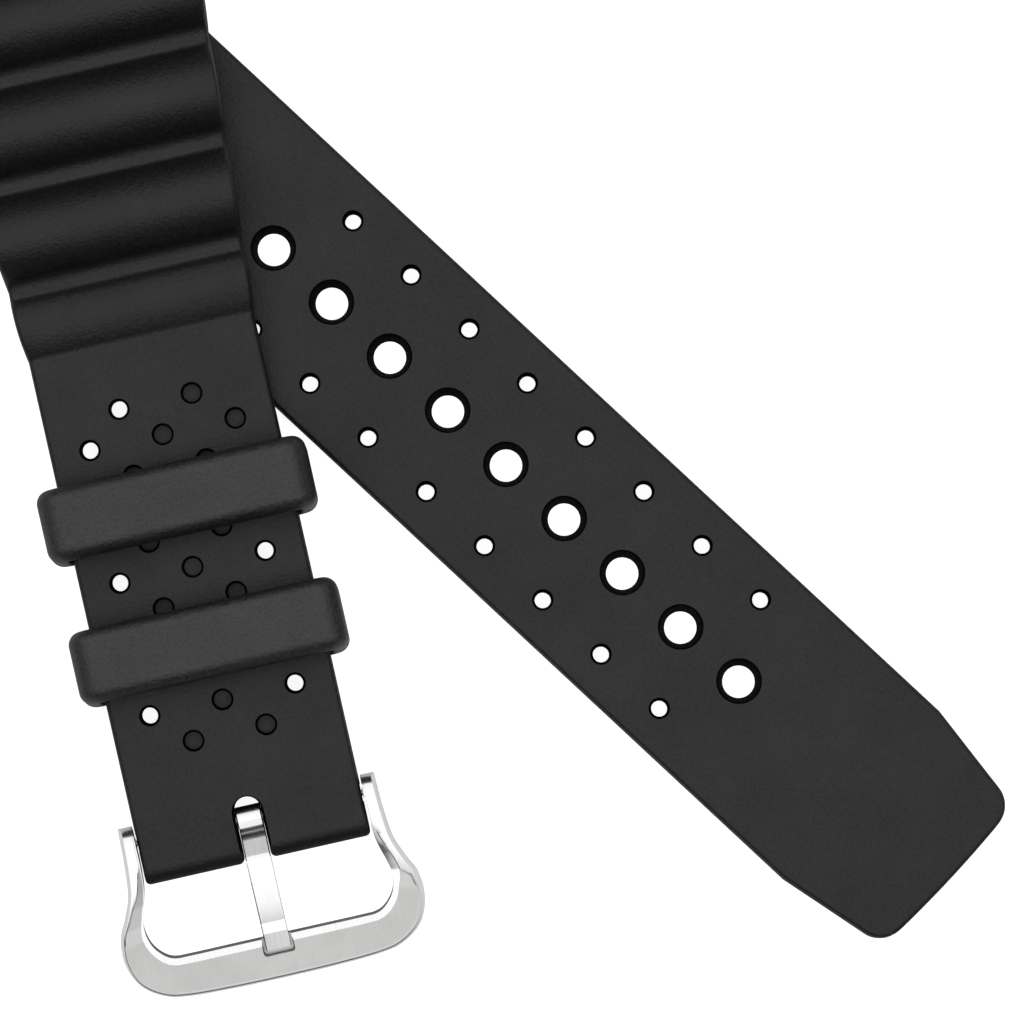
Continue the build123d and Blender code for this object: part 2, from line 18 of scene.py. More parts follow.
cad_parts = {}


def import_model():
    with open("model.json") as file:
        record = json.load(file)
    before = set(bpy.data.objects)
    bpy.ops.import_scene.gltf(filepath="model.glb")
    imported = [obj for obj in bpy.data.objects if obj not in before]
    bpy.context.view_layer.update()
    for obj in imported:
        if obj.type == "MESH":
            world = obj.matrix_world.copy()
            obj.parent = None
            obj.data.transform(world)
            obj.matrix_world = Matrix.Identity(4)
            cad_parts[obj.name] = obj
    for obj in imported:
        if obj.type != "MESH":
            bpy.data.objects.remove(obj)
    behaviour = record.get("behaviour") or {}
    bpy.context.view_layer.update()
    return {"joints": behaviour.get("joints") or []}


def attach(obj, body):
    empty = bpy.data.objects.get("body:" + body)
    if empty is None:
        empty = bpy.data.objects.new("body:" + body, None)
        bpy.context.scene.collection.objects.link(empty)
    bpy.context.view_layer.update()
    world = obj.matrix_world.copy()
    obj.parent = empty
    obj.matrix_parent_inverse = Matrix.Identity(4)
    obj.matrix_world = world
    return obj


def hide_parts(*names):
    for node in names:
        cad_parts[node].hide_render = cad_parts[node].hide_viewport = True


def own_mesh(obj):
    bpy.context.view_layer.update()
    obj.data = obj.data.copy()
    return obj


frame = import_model()

# %% [markdown]
# ## Where each piece lies
# The joints say where things are: the bars' axes cross the strap at its two ends, and the keepers
# slide along it. Reading the places from them, and not typing them again, keeps the dressed pieces on
# the solids when the frame changes.

# %% Places
MM = 0.001
LUG_END_RADIUS = 2.2
joints = {joint["name"]: joint for joint in frame["joints"]}


def place(origin, across, along):
    """Carries millimetres in a piece's own frame to metres in the row's frame."""
    x, y = Vector(across).normalized(), Vector(along).normalized()
    turn = Matrix((x, y, x.cross(y))).transposed().to_4x4()
    return Matrix.Translation(origin) @ turn @ Matrix.Scale(MM, 4)


UP = Vector((0, 0, 1))
across_buckle_half = Vector(joints["buckle_bar_spin"]["axis"])
to_buckle = -Vector(joints["keeper_lower_slide"]["axis"])
head_axis = Vector(joints["head_bar_spin"]["pos_m"])
bar_axis = Vector(joints["buckle_bar_spin"]["pos_m"])
across_tail = Vector(joints["tail_bar_spin"]["axis"])
to_tip = UP.cross(across_tail)
tail_axis = Vector(joints["tail_bar_spin"]["pos_m"])

lift = across_buckle_half.cross(to_buckle) * LUG_END_RADIUS * MM
buckle_half_place = place(head_axis - lift, across_buckle_half, to_buckle)
tail_half_place = place(tail_axis - UP * LUG_END_RADIUS * MM, across_tail, to_tip)
print("buckle half runs", [round(v, 3) for v in to_buckle], "tail", [round(v, 3) for v in to_tip])

# %% [markdown]
# ## Two ways to make a mesh
# A strap, a tongue or a frame is one cross section that changes along a path. A loft joins such rings
# of points with faces. A pin, a tube or the drill for a hole is round, so a short profile is turned
# about an axis. Doubles are merged before the normals are set.

# %% Lofts and turned forms
WELD = 0.0005
SEGMENTS = 48


def new_object(name, data):
    """An object of the scene with some data."""
    made = bpy.data.objects.new(name, data)
    bpy.context.scene.collection.objects.link(made)
    return made


def mesh_object(name, shell, at):
    """A mesh in millimetres, welded, with its faces outwards, as an object in the row's frame."""
    bmesh.ops.remove_doubles(shell, verts=shell.verts, dist=WELD)
    bmesh.ops.dissolve_degenerate(shell, edges=shell.edges, dist=WELD)
    bmesh.ops.triangulate(shell, faces=[face for face in shell.faces if len(face.verts) > 4])
    bmesh.ops.recalc_face_normals(shell, faces=shell.faces)
    mesh = bpy.data.meshes.new(name)
    shell.to_mesh(mesh)
    shell.free()
    mesh.transform(at)
    return new_object(name, mesh)


def is_line(loop):
    """Whether a ring has closed up to a line, so that it needs no face."""
    columns = zip(*(vert.co for vert in loop))
    return sorted(max(values) - min(values) for values in columns)[1] < WELD


def lofted(name, rings, at=Matrix.Identity(4), round_trip=False, finishes=()):
    """Rings of as many points each, joined one to the next, with a face over each end.

    The finishes say which material the faces at each place in the ring have.
    """
    shell = bmesh.new()
    loops = [[shell.verts.new(point) for point in ring] for ring in rings]
    for near, far in zip(loops, loops[1:] + loops[:1] if round_trip else loops[1:]):
        for here in range(len(near)):
            there = (here + 1) % len(near)
            face = shell.faces.new((near[here], near[there], far[there], far[here]))
            if finishes:
                face.material_index = finishes[here]
    if not round_trip:
        for loop in (loops[0], loops[-1]):
            if not is_line(loop):
                shell.faces.new(loop)
    return mesh_object(name, shell, at)


def turned(name, profile, at=Matrix.Identity(4), axis="Z"):
    """A profile of (radius, height) points turned about an axis."""
    shell = bmesh.new()
    loops = []
    for step in range(SEGMENTS):
        angle = 2 * math.pi * (step + 0.5) / SEGMENTS
        c, s = math.cos(angle), math.sin(angle)
        if axis == "Z":
            ring = [(radius * c, radius * s, height) for radius, height in profile]
        else:
            ring = [(height, radius * c, radius * s) for radius, height in profile]
        loops.append([shell.verts.new(point) for point in ring])
    for near, far in zip(loops, loops[1:] + loops[:1]):
        for here in range(len(profile) - 1):
            shell.faces.new((near[here], near[here + 1], far[here + 1], far[here]))
    return mesh_object(name, shell, at)


print("turned forms have", SEGMENTS, "sides")

# %% [markdown]
# ## Rounds, shading and finished pieces
# No edge of a moulded or pressed part is quite sharp, so corners are drawn as short arcs. Smooth shading
# would smear over the flats beside them, so edges past an angle stay sharp and large faces lead the
# normals. A finished piece takes the place of its solid and rides on its body.

# %% Rounds and finished pieces
# Degrees between faces, past which an edge stays sharp
SHARP = 40
# The corners of a rectangle in turn, by their signs, and the two ways in from each
CORNERS = {
    (1, 1): ((0, -1), (-1, 0)), (-1, 1): ((1, 0), (0, -1)),
    (-1, -1): ((0, 1), (1, 0)), (1, -1): ((-1, 0), (0, 1)),
}


def rounded(corner, signs, radius, steps=4):
    """Points of a quarter round at a corner, which its signs name, in the order of the turn."""
    (x, y), ((ax, ay), (bx, by)) = corner, CORNERS[signs]
    middle = (x + (ax + bx) * radius, y + (ay + by) * radius)
    points = []
    for step in range(steps + 1):
        turn = math.pi / 2 * step / steps
        points.append((
            middle[0] - (bx * math.cos(turn) + ax * math.sin(turn)) * radius,
            middle[1] - (by * math.cos(turn) + ay * math.sin(turn)) * radius,
        ))
    return points


def smooth(made, sharp_angle):
    """Smooth shading that keeps corners sharper than the angle, with flat faces left flat."""
    made.data.shade_smooth()
    made.data.set_sharp_from_angle(angle=math.radians(sharp_angle))
    weigh = made.modifiers.new("flat_faces_lead", "WEIGHTED_NORMAL")
    weigh.keep_sharp = True
    return made


def dressed(made, node, body):
    """The finished piece in place of its solid, and on its body."""
    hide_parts(node)
    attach(made, body)
    print(made.name, "for", node + ":", len(made.data.polygons), "faces")
    return made


# %% [markdown]
# ## Node trees in words
# Finishes, holes and springs are all made by node trees. Each tree is written as a list of nodes, with
# their settings, and a list of joins, one to a line: which output goes to which input.

# %% Node trees


def socket(sockets, word):
    """The socket of a name that the node's settings leave in use, or of a number."""
    if word.isdigit():
        return sockets[int(word)]
    return next(found for found in sockets if found.enabled and found.name == word)


def grow(tree, wanted, joins):
    """Adds named nodes to a tree, each with its settings and input values, and joins them."""
    for word, (kind, settings) in wanted.items():
        node = tree.nodes.new(kind)
        node.name = word
        for key, value in settings.items():
            if hasattr(node, key):
                setattr(node, key, value)
            else:
                socket(node.inputs, key).default_value = value
    for line in filter(str.strip, joins.splitlines()):
        source, target = [end.strip().split(".") for end in line.split(">")]
        output = socket(tree.nodes[source[0]].outputs, source[1])
        tree.links.new(output, socket(tree.nodes[target[0]].inputs, target[1]))


def new_tree(name, inputs, output, wanted, joins):
    """A geometry tree with its inputs, its output, its nodes and their joins."""
    tree = bpy.data.node_groups.new(name, "GeometryNodeTree")
    tree.is_modifier = True
    for label, kind in inputs.items():
        tree.interface.new_socket(label, in_out="INPUT", socket_type="NodeSocket" + kind)
    tree.interface.new_socket(output, in_out="OUTPUT", socket_type="NodeSocketGeometry")
    ends = {"given": ("NodeGroupInput", {}), "result": ("NodeGroupOutput", {})}
    grow(tree, {**ends, **wanted}, joins)
    return tree


def use_tree(blank, tree, values):
    """A modifier with a tree, whose inputs are set by the sockets' identifiers."""
    modifier = blank.modifiers.new(tree.name, "NODES")
    modifier.node_group = tree
    for item in tree.interface.items_tree:
        if item.in_out == "INPUT" and item.name in values:
            modifier[item.identifier] = values[item.name]


# %% [markdown]
# ## One pattern for rubber and steel
# Rubber and steel both look even from afar and uneven from near. So one function makes every finish: a
# fine noise tints the surface and raises it a little, and a broad one makes some places duller. Both
# are read in object coordinates, so they stay in scale on each piece.

# %% A finish


def finish(name, settings, tints, gloss, fine, broad, relief):
    """A material whose colour and relief follow a fine noise, and whose gloss follows a broad one.

    Both noises are given by their node's values, and the fine one also by the stretch of its place.
    The middle of a noise's range is spread over the whole range of what it drives.
    """
    material = bpy.data.materials.new(name)
    material.use_nodes = True
    for word, value in settings.items():
        material.node_tree.nodes["Principled BSDF"].inputs[word].default_value = value
    spread = {"From Min": 0.3, "From Max": 0.7}
    stretch, fine_values = fine
    grow(material.node_tree, {
        "place": ("ShaderNodeTexCoord", {}),
        "stretch": ("ShaderNodeMapping", {"Scale": stretch}),
        "fine": ("ShaderNodeTexNoise", fine_values),
        "broad": ("ShaderNodeTexNoise", broad),
        "share": ("ShaderNodeMapRange", {**spread, "To Min": 0, "To Max": 1}),
        "gloss": ("ShaderNodeMapRange", {**spread, "To Min": gloss[0], "To Max": gloss[1]}),
        "tint": ("ShaderNodeMix", {"data_type": "RGBA", "A": (*tints[0], 1), "B": (*tints[1], 1)}),
        "bump": ("ShaderNodeBump", {"Strength": relief[0], "Distance": relief[1]}),
    }, """
        place.Object > stretch.Vector
        stretch.Vector > fine.Vector
        place.Object > broad.Vector
        fine.Fac > share.Value
        share.Result > tint.Factor
        tint.Result > Principled BSDF.Base Color
        broad.Fac > gloss.Value
        gloss.Result > Principled BSDF.Roughness
        fine.Fac > bump.Height
        bump.Normal > Principled BSDF.Normal
    """)
    return material


# %% [markdown]
# ## Black rubber
# Moulded rubber has almost no colour of its own: what is seen is the soft sheen of its skin. So the
# base colour is very dark and the gloss does the rest. The fine noise is the mould's spark grain, and
# the broad one the uneven bloom. The walls of the holes get a copy of the rubber with almost no
# sheen, which paints them black: painted shade.

# %% Rubber
GRAIN = (1, 1, 1), {"Scale": 3900, "Detail": 4}
BLOOM = {"Scale": 190, "Detail": 4}
BLOOM_SPAN = 0.04
GRAIN_BUMP = 0.5


def rubber_material(name, dark, light, gloss, sheen, relief):
    """Black moulded rubber between two greys, with spark grain of some relief and an uneven bloom."""
    span = gloss - BLOOM_SPAN, gloss + BLOOM_SPAN
    settings = {"Specular IOR Level": sheen}
    return finish(name, settings, (dark, light), span, GRAIN, BLOOM, (GRAIN_BUMP, relief * MM))


STRAP_GREYS = (0.0002, 0.0002, 0.0002), (0.0115, 0.0115, 0.0117)
# Painted shade: the hole walls' rubber, dark and almost without sheen, so the holes look black inside.
PAINTED_SHADE_GREYS = (0.0006, 0.0006, 0.0006), (0.001, 0.001, 0.001)
KEEPER_GREYS = (0.001, 0.001, 0.001), (0.025, 0.025, 0.0252)
strap_rubber = rubber_material("black_strap_rubber", *STRAP_GREYS, 0.5, 0.48, 0.11)
painted_shade_rubber = rubber_material("painted_shade_wall_rubber", *PAINTED_SHADE_GREYS, 0.85, 0.04, 0.05)
keeper_rubber = rubber_material("black_loop_rubber", *KEEPER_GREYS, 0.5, 0.76, 0.16)
print("rubber finishes:", strap_rubber.name, painted_shade_rubber.name, keeper_rubber.name)

# %% [markdown]
# ## The wave of the ribs
# Beside the watch both halves swell into ribs, so that the strap can stretch over a diving suit. Each
# flank is two arcs that run level at crest and valley and meet part of the way, nearer the valley. The
# last rib is low and runs out in a crease, and a shallow fold runs just past each valley.

# %% Ribbed zone
RIB_COUNT = 4
RIB_PITCH = 9.0
RIB_HEIGHT = 4.6
LAST_RIB_HEIGHT = 3.25
LAST_RIB_LENGTH = 6.2
VALLEY_HEIGHT = 2.3
VALLEY_SHARE = 0.24
LAST_SHARE = 0.88
SHOULDER_SETBACK = 5.8
STRAP_THICKNESS = 2.5
FOLD_SETBACK = 0.66
FOLD_HALF = 0.36
FOLD_DEPTH = 0.16
VALLEYS = [SHOULDER_SETBACK + RIB_PITCH * count for count in range(RIB_COUNT)]
CREASE = VALLEYS[-1] + LAST_RIB_LENGTH


def flank(at, start, end, share):
    """Height between two (place, height) points of the wave."""
    run, rise = end[0] - start[0], end[1] - start[1]
    if at - start[0] <= run * share:
        reach, climb, gone, base = run * share, rise * share, at - start[0], start[1]
    else:
        reach, climb, gone, base = run * (1 - share), -rise * (1 - share), end[0] - at, end[1]
    radius = (reach ** 2 + climb ** 2) / (2 * abs(climb))
    return base + math.copysign(radius - math.sqrt(max(radius ** 2 - gone ** 2, 0)), climb)


def wave_points():
    """Crests and valleys of the upper side, in order, as (place, height, share of the flank after it)."""
    points = [(VALLEYS[0] - RIB_PITCH / 2, 2 * LUG_END_RADIUS, 1 - VALLEY_SHARE)]
    for count, valley in enumerate(VALLEYS):
        last = count == RIB_COUNT - 1
        length, height = (LAST_RIB_LENGTH, LAST_RIB_HEIGHT) if last else (RIB_PITCH, RIB_HEIGHT)
        points.append((valley, VALLEY_HEIGHT, VALLEY_SHARE))
        points.append((valley + length / 2, height, LAST_SHARE if last else 1 - VALLEY_SHARE))
    points.append((CREASE, STRAP_THICKNESS, 0))
    return points


WAVE = wave_points()


def fold_at(along):
    """Depth of the shallow fold that runs just past each valley."""
    depth = 0
    for valley in VALLEYS:
        gone = (along - valley - FOLD_SETBACK) / FOLD_HALF
        depth += FOLD_DEPTH * math.exp(-gone * gone)
    return depth


print("crest heights", [round(point[1], 2) for point in WAVE], "crease at", CREASE)

# %% [markdown]
# ## Heights and widths along the strap
# The wave is the upper side, and the underside is arched below each rib, which saves rubber and lets the
# rib bend. The sides bow out a little beside each rib and narrow from the shoulders to the crease. Both
# are plain functions of the place along the strap, so that the loft can ask for a section anywhere.

# %% Heights and widths
ARCH_HEIGHT = 0.9
ARCH_FOOT = 2.0
RIB_SIDE_BULGE = 0.18
SHOULDER_WIDTH = 23.8
STRAP_WIDTH = 19.7
LUG_END_WIDTH = 21.7


def top_at(along):
    """Height of the upper side from the lug end to past the crease."""
    if along <= 0:
        return LUG_END_RADIUS + math.sqrt(max(LUG_END_RADIUS ** 2 - along ** 2, 0))
    if along <= WAVE[0][0]:
        return 2 * LUG_END_RADIUS
    for start, end in zip(WAVE, WAVE[1:]):
        if along <= end[0]:
            return flank(along, start[:2], end[:2], start[2]) - fold_at(along)
    return STRAP_THICKNESS


def under_at(along):
    """Height of the underside, with its arches."""
    if along <= 0:
        return LUG_END_RADIUS - math.sqrt(max(LUG_END_RADIUS ** 2 - along ** 2, 0))
    for valley, end in zip(VALLEYS, VALLEYS[1:] + [CREASE]):
        start, stop = valley + ARCH_FOOT / 2, end - ARCH_FOOT / 2
        if start < along < stop:
            half = (stop - start) / 2
            radius = (half ** 2 + ARCH_HEIGHT ** 2) / (2 * ARCH_HEIGHT)
            gone = along - (start + stop) / 2
            return ARCH_HEIGHT - radius + math.sqrt(radius ** 2 - gone ** 2)
    return 0.0


def half_width_at(along):
    """Half the strap's width, with a shallow bow beside each rib."""
    if along >= CREASE:
        return STRAP_WIDTH / 2
    lug_half = LUG_END_WIDTH / 2
    share = (along - VALLEYS[0]) / (CREASE - VALLEYS[0])
    plain = (SHOULDER_WIDTH + (STRAP_WIDTH - SHOULDER_WIDTH) * share) / 2
    if share < 0:
        step = SHOULDER_WIDTH / 2 - lug_half
        return lug_half + max(0, along - (VALLEYS[0] - step))
    for start, stop in zip(VALLEYS, VALLEYS[1:] + [CREASE]):
        if start <= along < stop:
            middle, half = (start + stop) / 2, (stop - start) / 2
            return plain + RIB_SIDE_BULGE * (1 - ((along - middle) / half) ** 2)
    return plain


print("height and half width at the shoulder:", round(top_at(VALLEYS[0]), 2), half_width_at(VALLEYS[0]))

# %% [markdown]
# ## One section of a half
# A section is a rectangle with rounded corners. Where the two halves of the mould met, a thin flash is
# left along each side, and it catches the light as a fine bright line. The section has as many points
# above as below, so where the strap closes to a line, as at its round ends, they weld together.

# %% Strap section
EDGE_RADIUS = 0.4
FLASH_OUT = 0.07
FLASH_HALF = 0.07
ACROSS_STEPS = 16
RIB_STEP = 0.15


def section(half, low, high, along):
    """The ring of points of one section at a distance along the strap."""
    tall = high - low
    radius = min(EDGE_RADIUS, tall * 0.45)
    middle = (low + high) / 2
    fade = min(1.0, tall / STRAP_THICKNESS)
    out, up = FLASH_OUT * fade, FLASH_HALF * fade
    side = rounded((half, low), (1, -1), radius)
    side += [(half, middle - up), (half + out, middle), (half, middle + up)]
    side += rounded((half, high), (1, 1), radius)
    inner = half - radius
    steps = [inner * (2 * step / ACROSS_STEPS - 1) for step in range(1, ACROSS_STEPS)]
    ring = [(x, low) for x in steps] + side + [(x, high) for x in reversed(steps)]
    ring += [(-x, z) for x, z in reversed(side)]
    return [(x, along, z) for x, z in ring]


def stations(start, stop, step):
    """Evenly spaced places along the strap, with both ends."""
    count = max(1, round((stop - start) / step))
    return [start + (stop - start) * index / count for index in range(count + 1)]


def round_end(steps=12):
    """Places that crowd towards the tip of a round end, from the tip inwards, as shares of its radius."""
    return [1 - math.cos(math.pi / 2 * step / steps) for step in range(steps)]


def rib_zone_sections():
    """All sections of the lug end and the ribs, the same on both halves."""
    places = [share * LUG_END_RADIUS - LUG_END_RADIUS for share in round_end()]
    places += stations(0, CREASE, RIB_STEP)
    return [section(half_width_at(at), under_at(at), top_at(at), at) for at in places]


print("sections in the ribbed zone:", len(rib_zone_sections()))

# %% [markdown]
# ## Holes by Geometry Nodes
# Punched rows repeat, so a node tree makes them: a line of points, one cutter set on each, and one
# boolean that takes them all away. The number, the first place and the step are inputs of the tree, so
# one tree serves every row. The lattice of the buckle half has no plain step, so a second tree takes
# its places from a mesh of loose points. A cutter's steep faces carry a mark through the boolean, so
# that the walls they leave get a dark copy of the rubber, which paints in their shade, and the floor of
# a dimple doesn't. Both trees end by making the copies real and setting the materials.

# %% Hole trees
# Faces of a cutter steeper than this leave walls that get the painted-shade rubber
STEEP = 0.95


def hole_tree(name, inputs, points, joins):
    """A node tree that cuts one form of hole at points, which its own inputs and node give."""
    inputs = {"Blank": "Geometry", "Cutter": "Object", "Rubber": "Material", "Wall": "Material", **inputs}
    wall = {"data_type": "BOOLEAN", "Name": "wall"}
    return new_tree(name, inputs, "Strap", {
        "points": (points, {}),
        "cutter": ("GeometryNodeObjectInfo", {}),
        "normal": ("GeometryNodeInputNormal", {}),
        "parts": ("ShaderNodeSeparateXYZ", {}),
        "size": ("ShaderNodeMath", {"operation": "ABSOLUTE"}),
        "steep": ("FunctionNodeCompare", {"data_type": "FLOAT", "operation": "LESS_THAN", "B": STEEP}),
        "marked": ("GeometryNodeStoreNamedAttribute", {"domain": "FACE", **wall}),
        "copies": ("GeometryNodeInstanceOnPoints", {}),
        "real": ("GeometryNodeRealizeInstances", {}),
        "cut": ("GeometryNodeMeshBoolean", {"operation": "DIFFERENCE"}),
        "whole": ("GeometryNodeRealizeInstances", {}),
        "skin": ("GeometryNodeSetMaterial", {}),
        "walls": ("GeometryNodeInputNamedAttribute", wall),
        "inside": ("GeometryNodeSetMaterial", {}),
    }, joins + """
        given.Cutter > cutter.Object
        normal.Normal > parts.Vector
        parts.Z > size.0
        size.0 > steep.A
        steep.Result > marked.Value
        cutter.Geometry > marked.Geometry
        marked.Geometry > copies.Instance
        copies.Instances > real.Geometry
        given.Blank > cut.Mesh 1
        real.Geometry > cut.Mesh 2
        cut.Mesh > whole.Geometry
        whole.Geometry > skin.Geometry
        given.Rubber > skin.Material
        skin.Geometry > inside.Geometry
        walls.Attribute > inside.Selection
        given.Wall > inside.Material
        inside.Geometry > result.Strap
    """)


row_of_holes = hole_tree(
    "row_of_holes", {"Count": "Int", "First": "Vector", "Step": "Vector"}, "GeometryNodeMeshLine", """
        given.Count > points.Count
        given.First > points.Start Location
        given.Step > points.Offset
        points.Mesh > copies.Points
    """,
)
set_of_holes = hole_tree(
    "set_of_holes", {"Places": "Object"}, "GeometryNodeObjectInfo", """
        given.Places > points.Object
        points.Geometry > copies.Points
    """,
)


def add_holes(blank, tree, **values):
    """One modifier of a hole tree on a blank."""
    use_tree(blank, tree, {"Rubber": strap_rubber, "Wall": painted_shade_rubber, **values})


print("hole trees:", row_of_holes.name, set_of_holes.name)

# %% [markdown]
# ## Cuts, and the way back to a plain mesh
# A boolean is only sure where faces are flat, so a blank is split into triangles first. The bores for
# the bars are single, and a plain boolean does for them. The blank with its cuts is then taken as a
# plain mesh, and the edges between skin and wall are marked, so that their shading stays apart.

# %% Cuts
OVERRUN = 1.0


def reworked(made, change):
    """The object after a change to its mesh."""
    shell = bmesh.new()
    shell.from_mesh(made.data)
    change(shell)
    shell.to_mesh(made.data)
    shell.free()
    return made


def all_triangles(made):
    """Splits a mesh into triangles, because a boolean needs faces that are truly flat."""
    return reworked(made, lambda shell: bmesh.ops.triangulate(shell, faces=shell.faces))


def cut_with(blank, cutter):
    """A plain boolean for a single cut."""
    modifier = blank.modifiers.new("cut", "BOOLEAN")
    modifier.object = cutter
    modifier.solver = "EXACT"


def as_plain_mesh(blank, name, at, helpers):
    """The blank with its cuts made, as a plain mesh in the row's frame. The helpers are removed."""
    ready = blank.evaluated_get(bpy.context.evaluated_depsgraph_get())
    mesh = bpy.data.meshes.new_from_object(ready)
    for helper in [blank, *helpers]:
        bpy.data.objects.remove(helper)
    mesh.name = name
    mesh.transform(at)
    return new_object(name, mesh)


def part_rims(shell):
    """Marks the edges between a hole's wall and the skin, so that their shading stays apart."""
    for edge in shell.edges:
        if len({face.material_index for face in edge.link_faces}) > 1:
            edge.smooth = False


def cross_drill(name, radius, along, height):
    """A drill across the strap for a bar's bore."""
    reach = SHOULDER_WIDTH
    turn = Matrix.Translation((0, along, height))
    profile = [(0, -reach), (radius, -reach), (radius, reach), (0, reach)]
    return turned(name, profile, turn, axis="X")

print("bores are cut", SHOULDER_WIDTH, "mm to each side")

# %% [markdown]
# ## The cutters
# A tongue hole is moulded as a funnel: wide at the top so that the tongue finds it, and straight below.
# Its slope is steep and gets the wall rubber that paints it dark as shade. A vent is a straight hole
# with a lightly broken rim. A dimple looks like a vent but stops part of the way down, with a small
# round at its foot.

# %% Cutters
HOLE_DIAMETER = 2.8
HOLE_RIM = 0.55
HOLE_RIM_DEPTH = 2.3
VENT_DIAMETER = 1.4
DIMPLE_DIAMETER = 1.7
DIMPLE_DEPTH = 1.0
RIM_ROUND = 0.1
VENT_RIM_ROUND = 0.34
DIMPLE_RIM_ROUND = 0.17
RIM_TURN = 75
RIM_LIFT = 0.01


def rim_curve(size, steps):
    """A hole's rounded rim, as how far out and how high over the face each of its points lies.

    It stops short of level, because a cutter that only touches a face cuts it badly.
    """
    full = math.radians(RIM_TURN)
    foot = RIM_LIFT - size * math.sin(full)
    turns = [full * step / steps for step in range(steps + 1)]
    return [(size * (1 - math.cos(turn)), foot + size * math.sin(turn)) for turn in turns]


def drill(name, radius, foot, size):
    """A drill from its foot to above the strap, with a rounded rim of some size."""
    rim = [(radius + out, STRAP_THICKNESS + up) for out, up in rim_curve(size, 4)]
    above = STRAP_THICKNESS + OVERRUN
    return turned(name, foot + rim + [(rim[-1][0], above), (0, above)])


def funnel_cutter():
    """The form of a tongue hole, about its own axis, with Z zero at the strap's underside."""
    low, wide = HOLE_DIAMETER / 2, HOLE_DIAMETER / 2 + HOLE_RIM
    foot = [(0, -OVERRUN), (low, -OVERRUN), (low, STRAP_THICKNESS - HOLE_RIM_DEPTH)]
    return drill("funnel_cutter", wide - RIM_ROUND, foot, 2 * RIM_ROUND)


def vent_cutter():
    """The form of a vent."""
    radius = VENT_DIAMETER / 2
    return drill("vent_cutter", radius, [(0, -OVERRUN), (radius, -OVERRUN)], VENT_RIM_ROUND)


def dimple_cutter():
    """The form of a dimple."""
    radius, floor = DIMPLE_DIAMETER / 2, STRAP_THICKNESS - DIMPLE_DEPTH
    foot = [(0, floor), (radius - RIM_ROUND, floor), (radius, floor + RIM_ROUND)]
    return drill("dimple_cutter", radius, foot, DIMPLE_RIM_ROUND)


print("holes in mm:", HOLE_DIAMETER, "vents:", VENT_DIAMETER, "dimples:", DIMPLE_DIAMETER)

# %% [markdown]
# ## Tail half
# The long half is flat past its ribs and tapers to a tip with round corners. It is a loft, so the
# tip's plan is just a width that falls as the end comes near. The end is slightly crowned: points
# near it are drawn back by the square of their distance from the middle.

# %% Tail half
TAIL_LENGTH = 150.0
TIP_TAPER_LENGTH = 10.5
TIP_WIDTH = 16.4
TIP_CORNER_RADIUS = 1.9
TIP_CROWN = 0.3
TAIL_STEP = 1.7
TAPER_STEP = 0.7
HOLE_COUNT = 9
HOLE_PITCH = 6.86
FIRST_HOLE_AT = 70.2
SIDE_VENT_OFFSET = 6.4
LUG_BORE_RADIUS = 0.95


def fallen(gone, radius):
    """How far a quarter round has fallen after a run along it."""
    gone = min(max(gone, 0), radius)
    return radius - math.sqrt(radius ** 2 - gone ** 2)


def tail_half_width(along):
    """Half width of the tail, with its taper and its round corners."""
    half = half_width_at(along)
    taper_start = TAIL_LENGTH - TIP_TAPER_LENGTH
    half -= (STRAP_WIDTH - TIP_WIDTH) / 2 * max(0, along - taper_start) / TIP_TAPER_LENGTH
    return half - fallen(along - (TAIL_LENGTH - TIP_CORNER_RADIUS), TIP_CORNER_RADIUS)


def tail_section(along):
    """A section near the tip, whose upper and lower edges are rounded over the end."""
    drop = fallen(along - (TAIL_LENGTH - EDGE_RADIUS), EDGE_RADIUS)
    half = tail_half_width(along) - drop / 2
    ring = section(half, drop, STRAP_THICKNESS - drop, along)
    near = max(0, 1 - (TAIL_LENGTH - along) / TIP_TAPER_LENGTH)
    return [(x, y - TIP_CROWN * near * (2 * x / TIP_WIDTH) ** 2, z) for x, y, z in ring]


def tail_half():
    """The long rubber half, with its row of tongue holes and a row of vents beside it on each side."""
    taper_start, corner_start = TAIL_LENGTH - TIP_TAPER_LENGTH, TAIL_LENGTH - TIP_CORNER_RADIUS
    places = stations(CREASE, taper_start, TAIL_STEP)[1:]
    places += stations(taper_start, corner_start, TAPER_STEP)[1:]
    places += [TAIL_LENGTH - share * TIP_CORNER_RADIUS for share in reversed(round_end(16))]
    rings = rib_zone_sections() + [tail_section(at) for at in places]
    blank = all_triangles(lofted("tail_blank", rings))
    blank.data.materials.append(strap_rubber)
    cutters = [funnel_cutter(), vent_cutter()]
    cutters.append(cross_drill("tail_drill", LUG_BORE_RADIUS, 0, LUG_END_RADIUS))
    step = (0, HOLE_PITCH, 0)
    rows = [(cutters[0], HOLE_COUNT, (0, FIRST_HOLE_AT, 0))]
    for side in (-1, 1):
        first = (side * SIDE_VENT_OFFSET, FIRST_HOLE_AT + HOLE_PITCH / 2, 0)
        rows.append((cutters[1], HOLE_COUNT - 1, first))
    for cutter, count, first in rows:
        add_holes(blank, row_of_holes, Cutter=cutter, Count=count, First=first, Step=step)
    cut_with(blank, cutters[2])
    return as_plain_mesh(blank, "tail_half_rubber", tail_half_place, cutters)


dressed(reworked(smooth(tail_half(), SHARP), part_rims), "tail_strap", "tail_half")

# %% [markdown]
# ## End of the buckle half
# The short half ends in a swell that holds the buckle's bar. It rises over the bar on both faces as a
# flank of the wave does, and its end falls away in an arc. So its section is the strap's own, between
# other heights.

# %% End of the buckle half
BUCKLE_HALF_LENGTH = 81.3
BUCKLE_BAR_SETBACK = 3.7
END_THICKNESS = 3.3
END_SWELL_RUN = 6.0
END_NOSE_RUN = 1.35
END_NOSE_DROP = 0.85
END_CORNER_RADIUS = 0.4
BUCKLE_END = BUCKLE_HALF_LENGTH + BUCKLE_BAR_SETBACK
MID_HEIGHT = STRAP_THICKNESS / 2


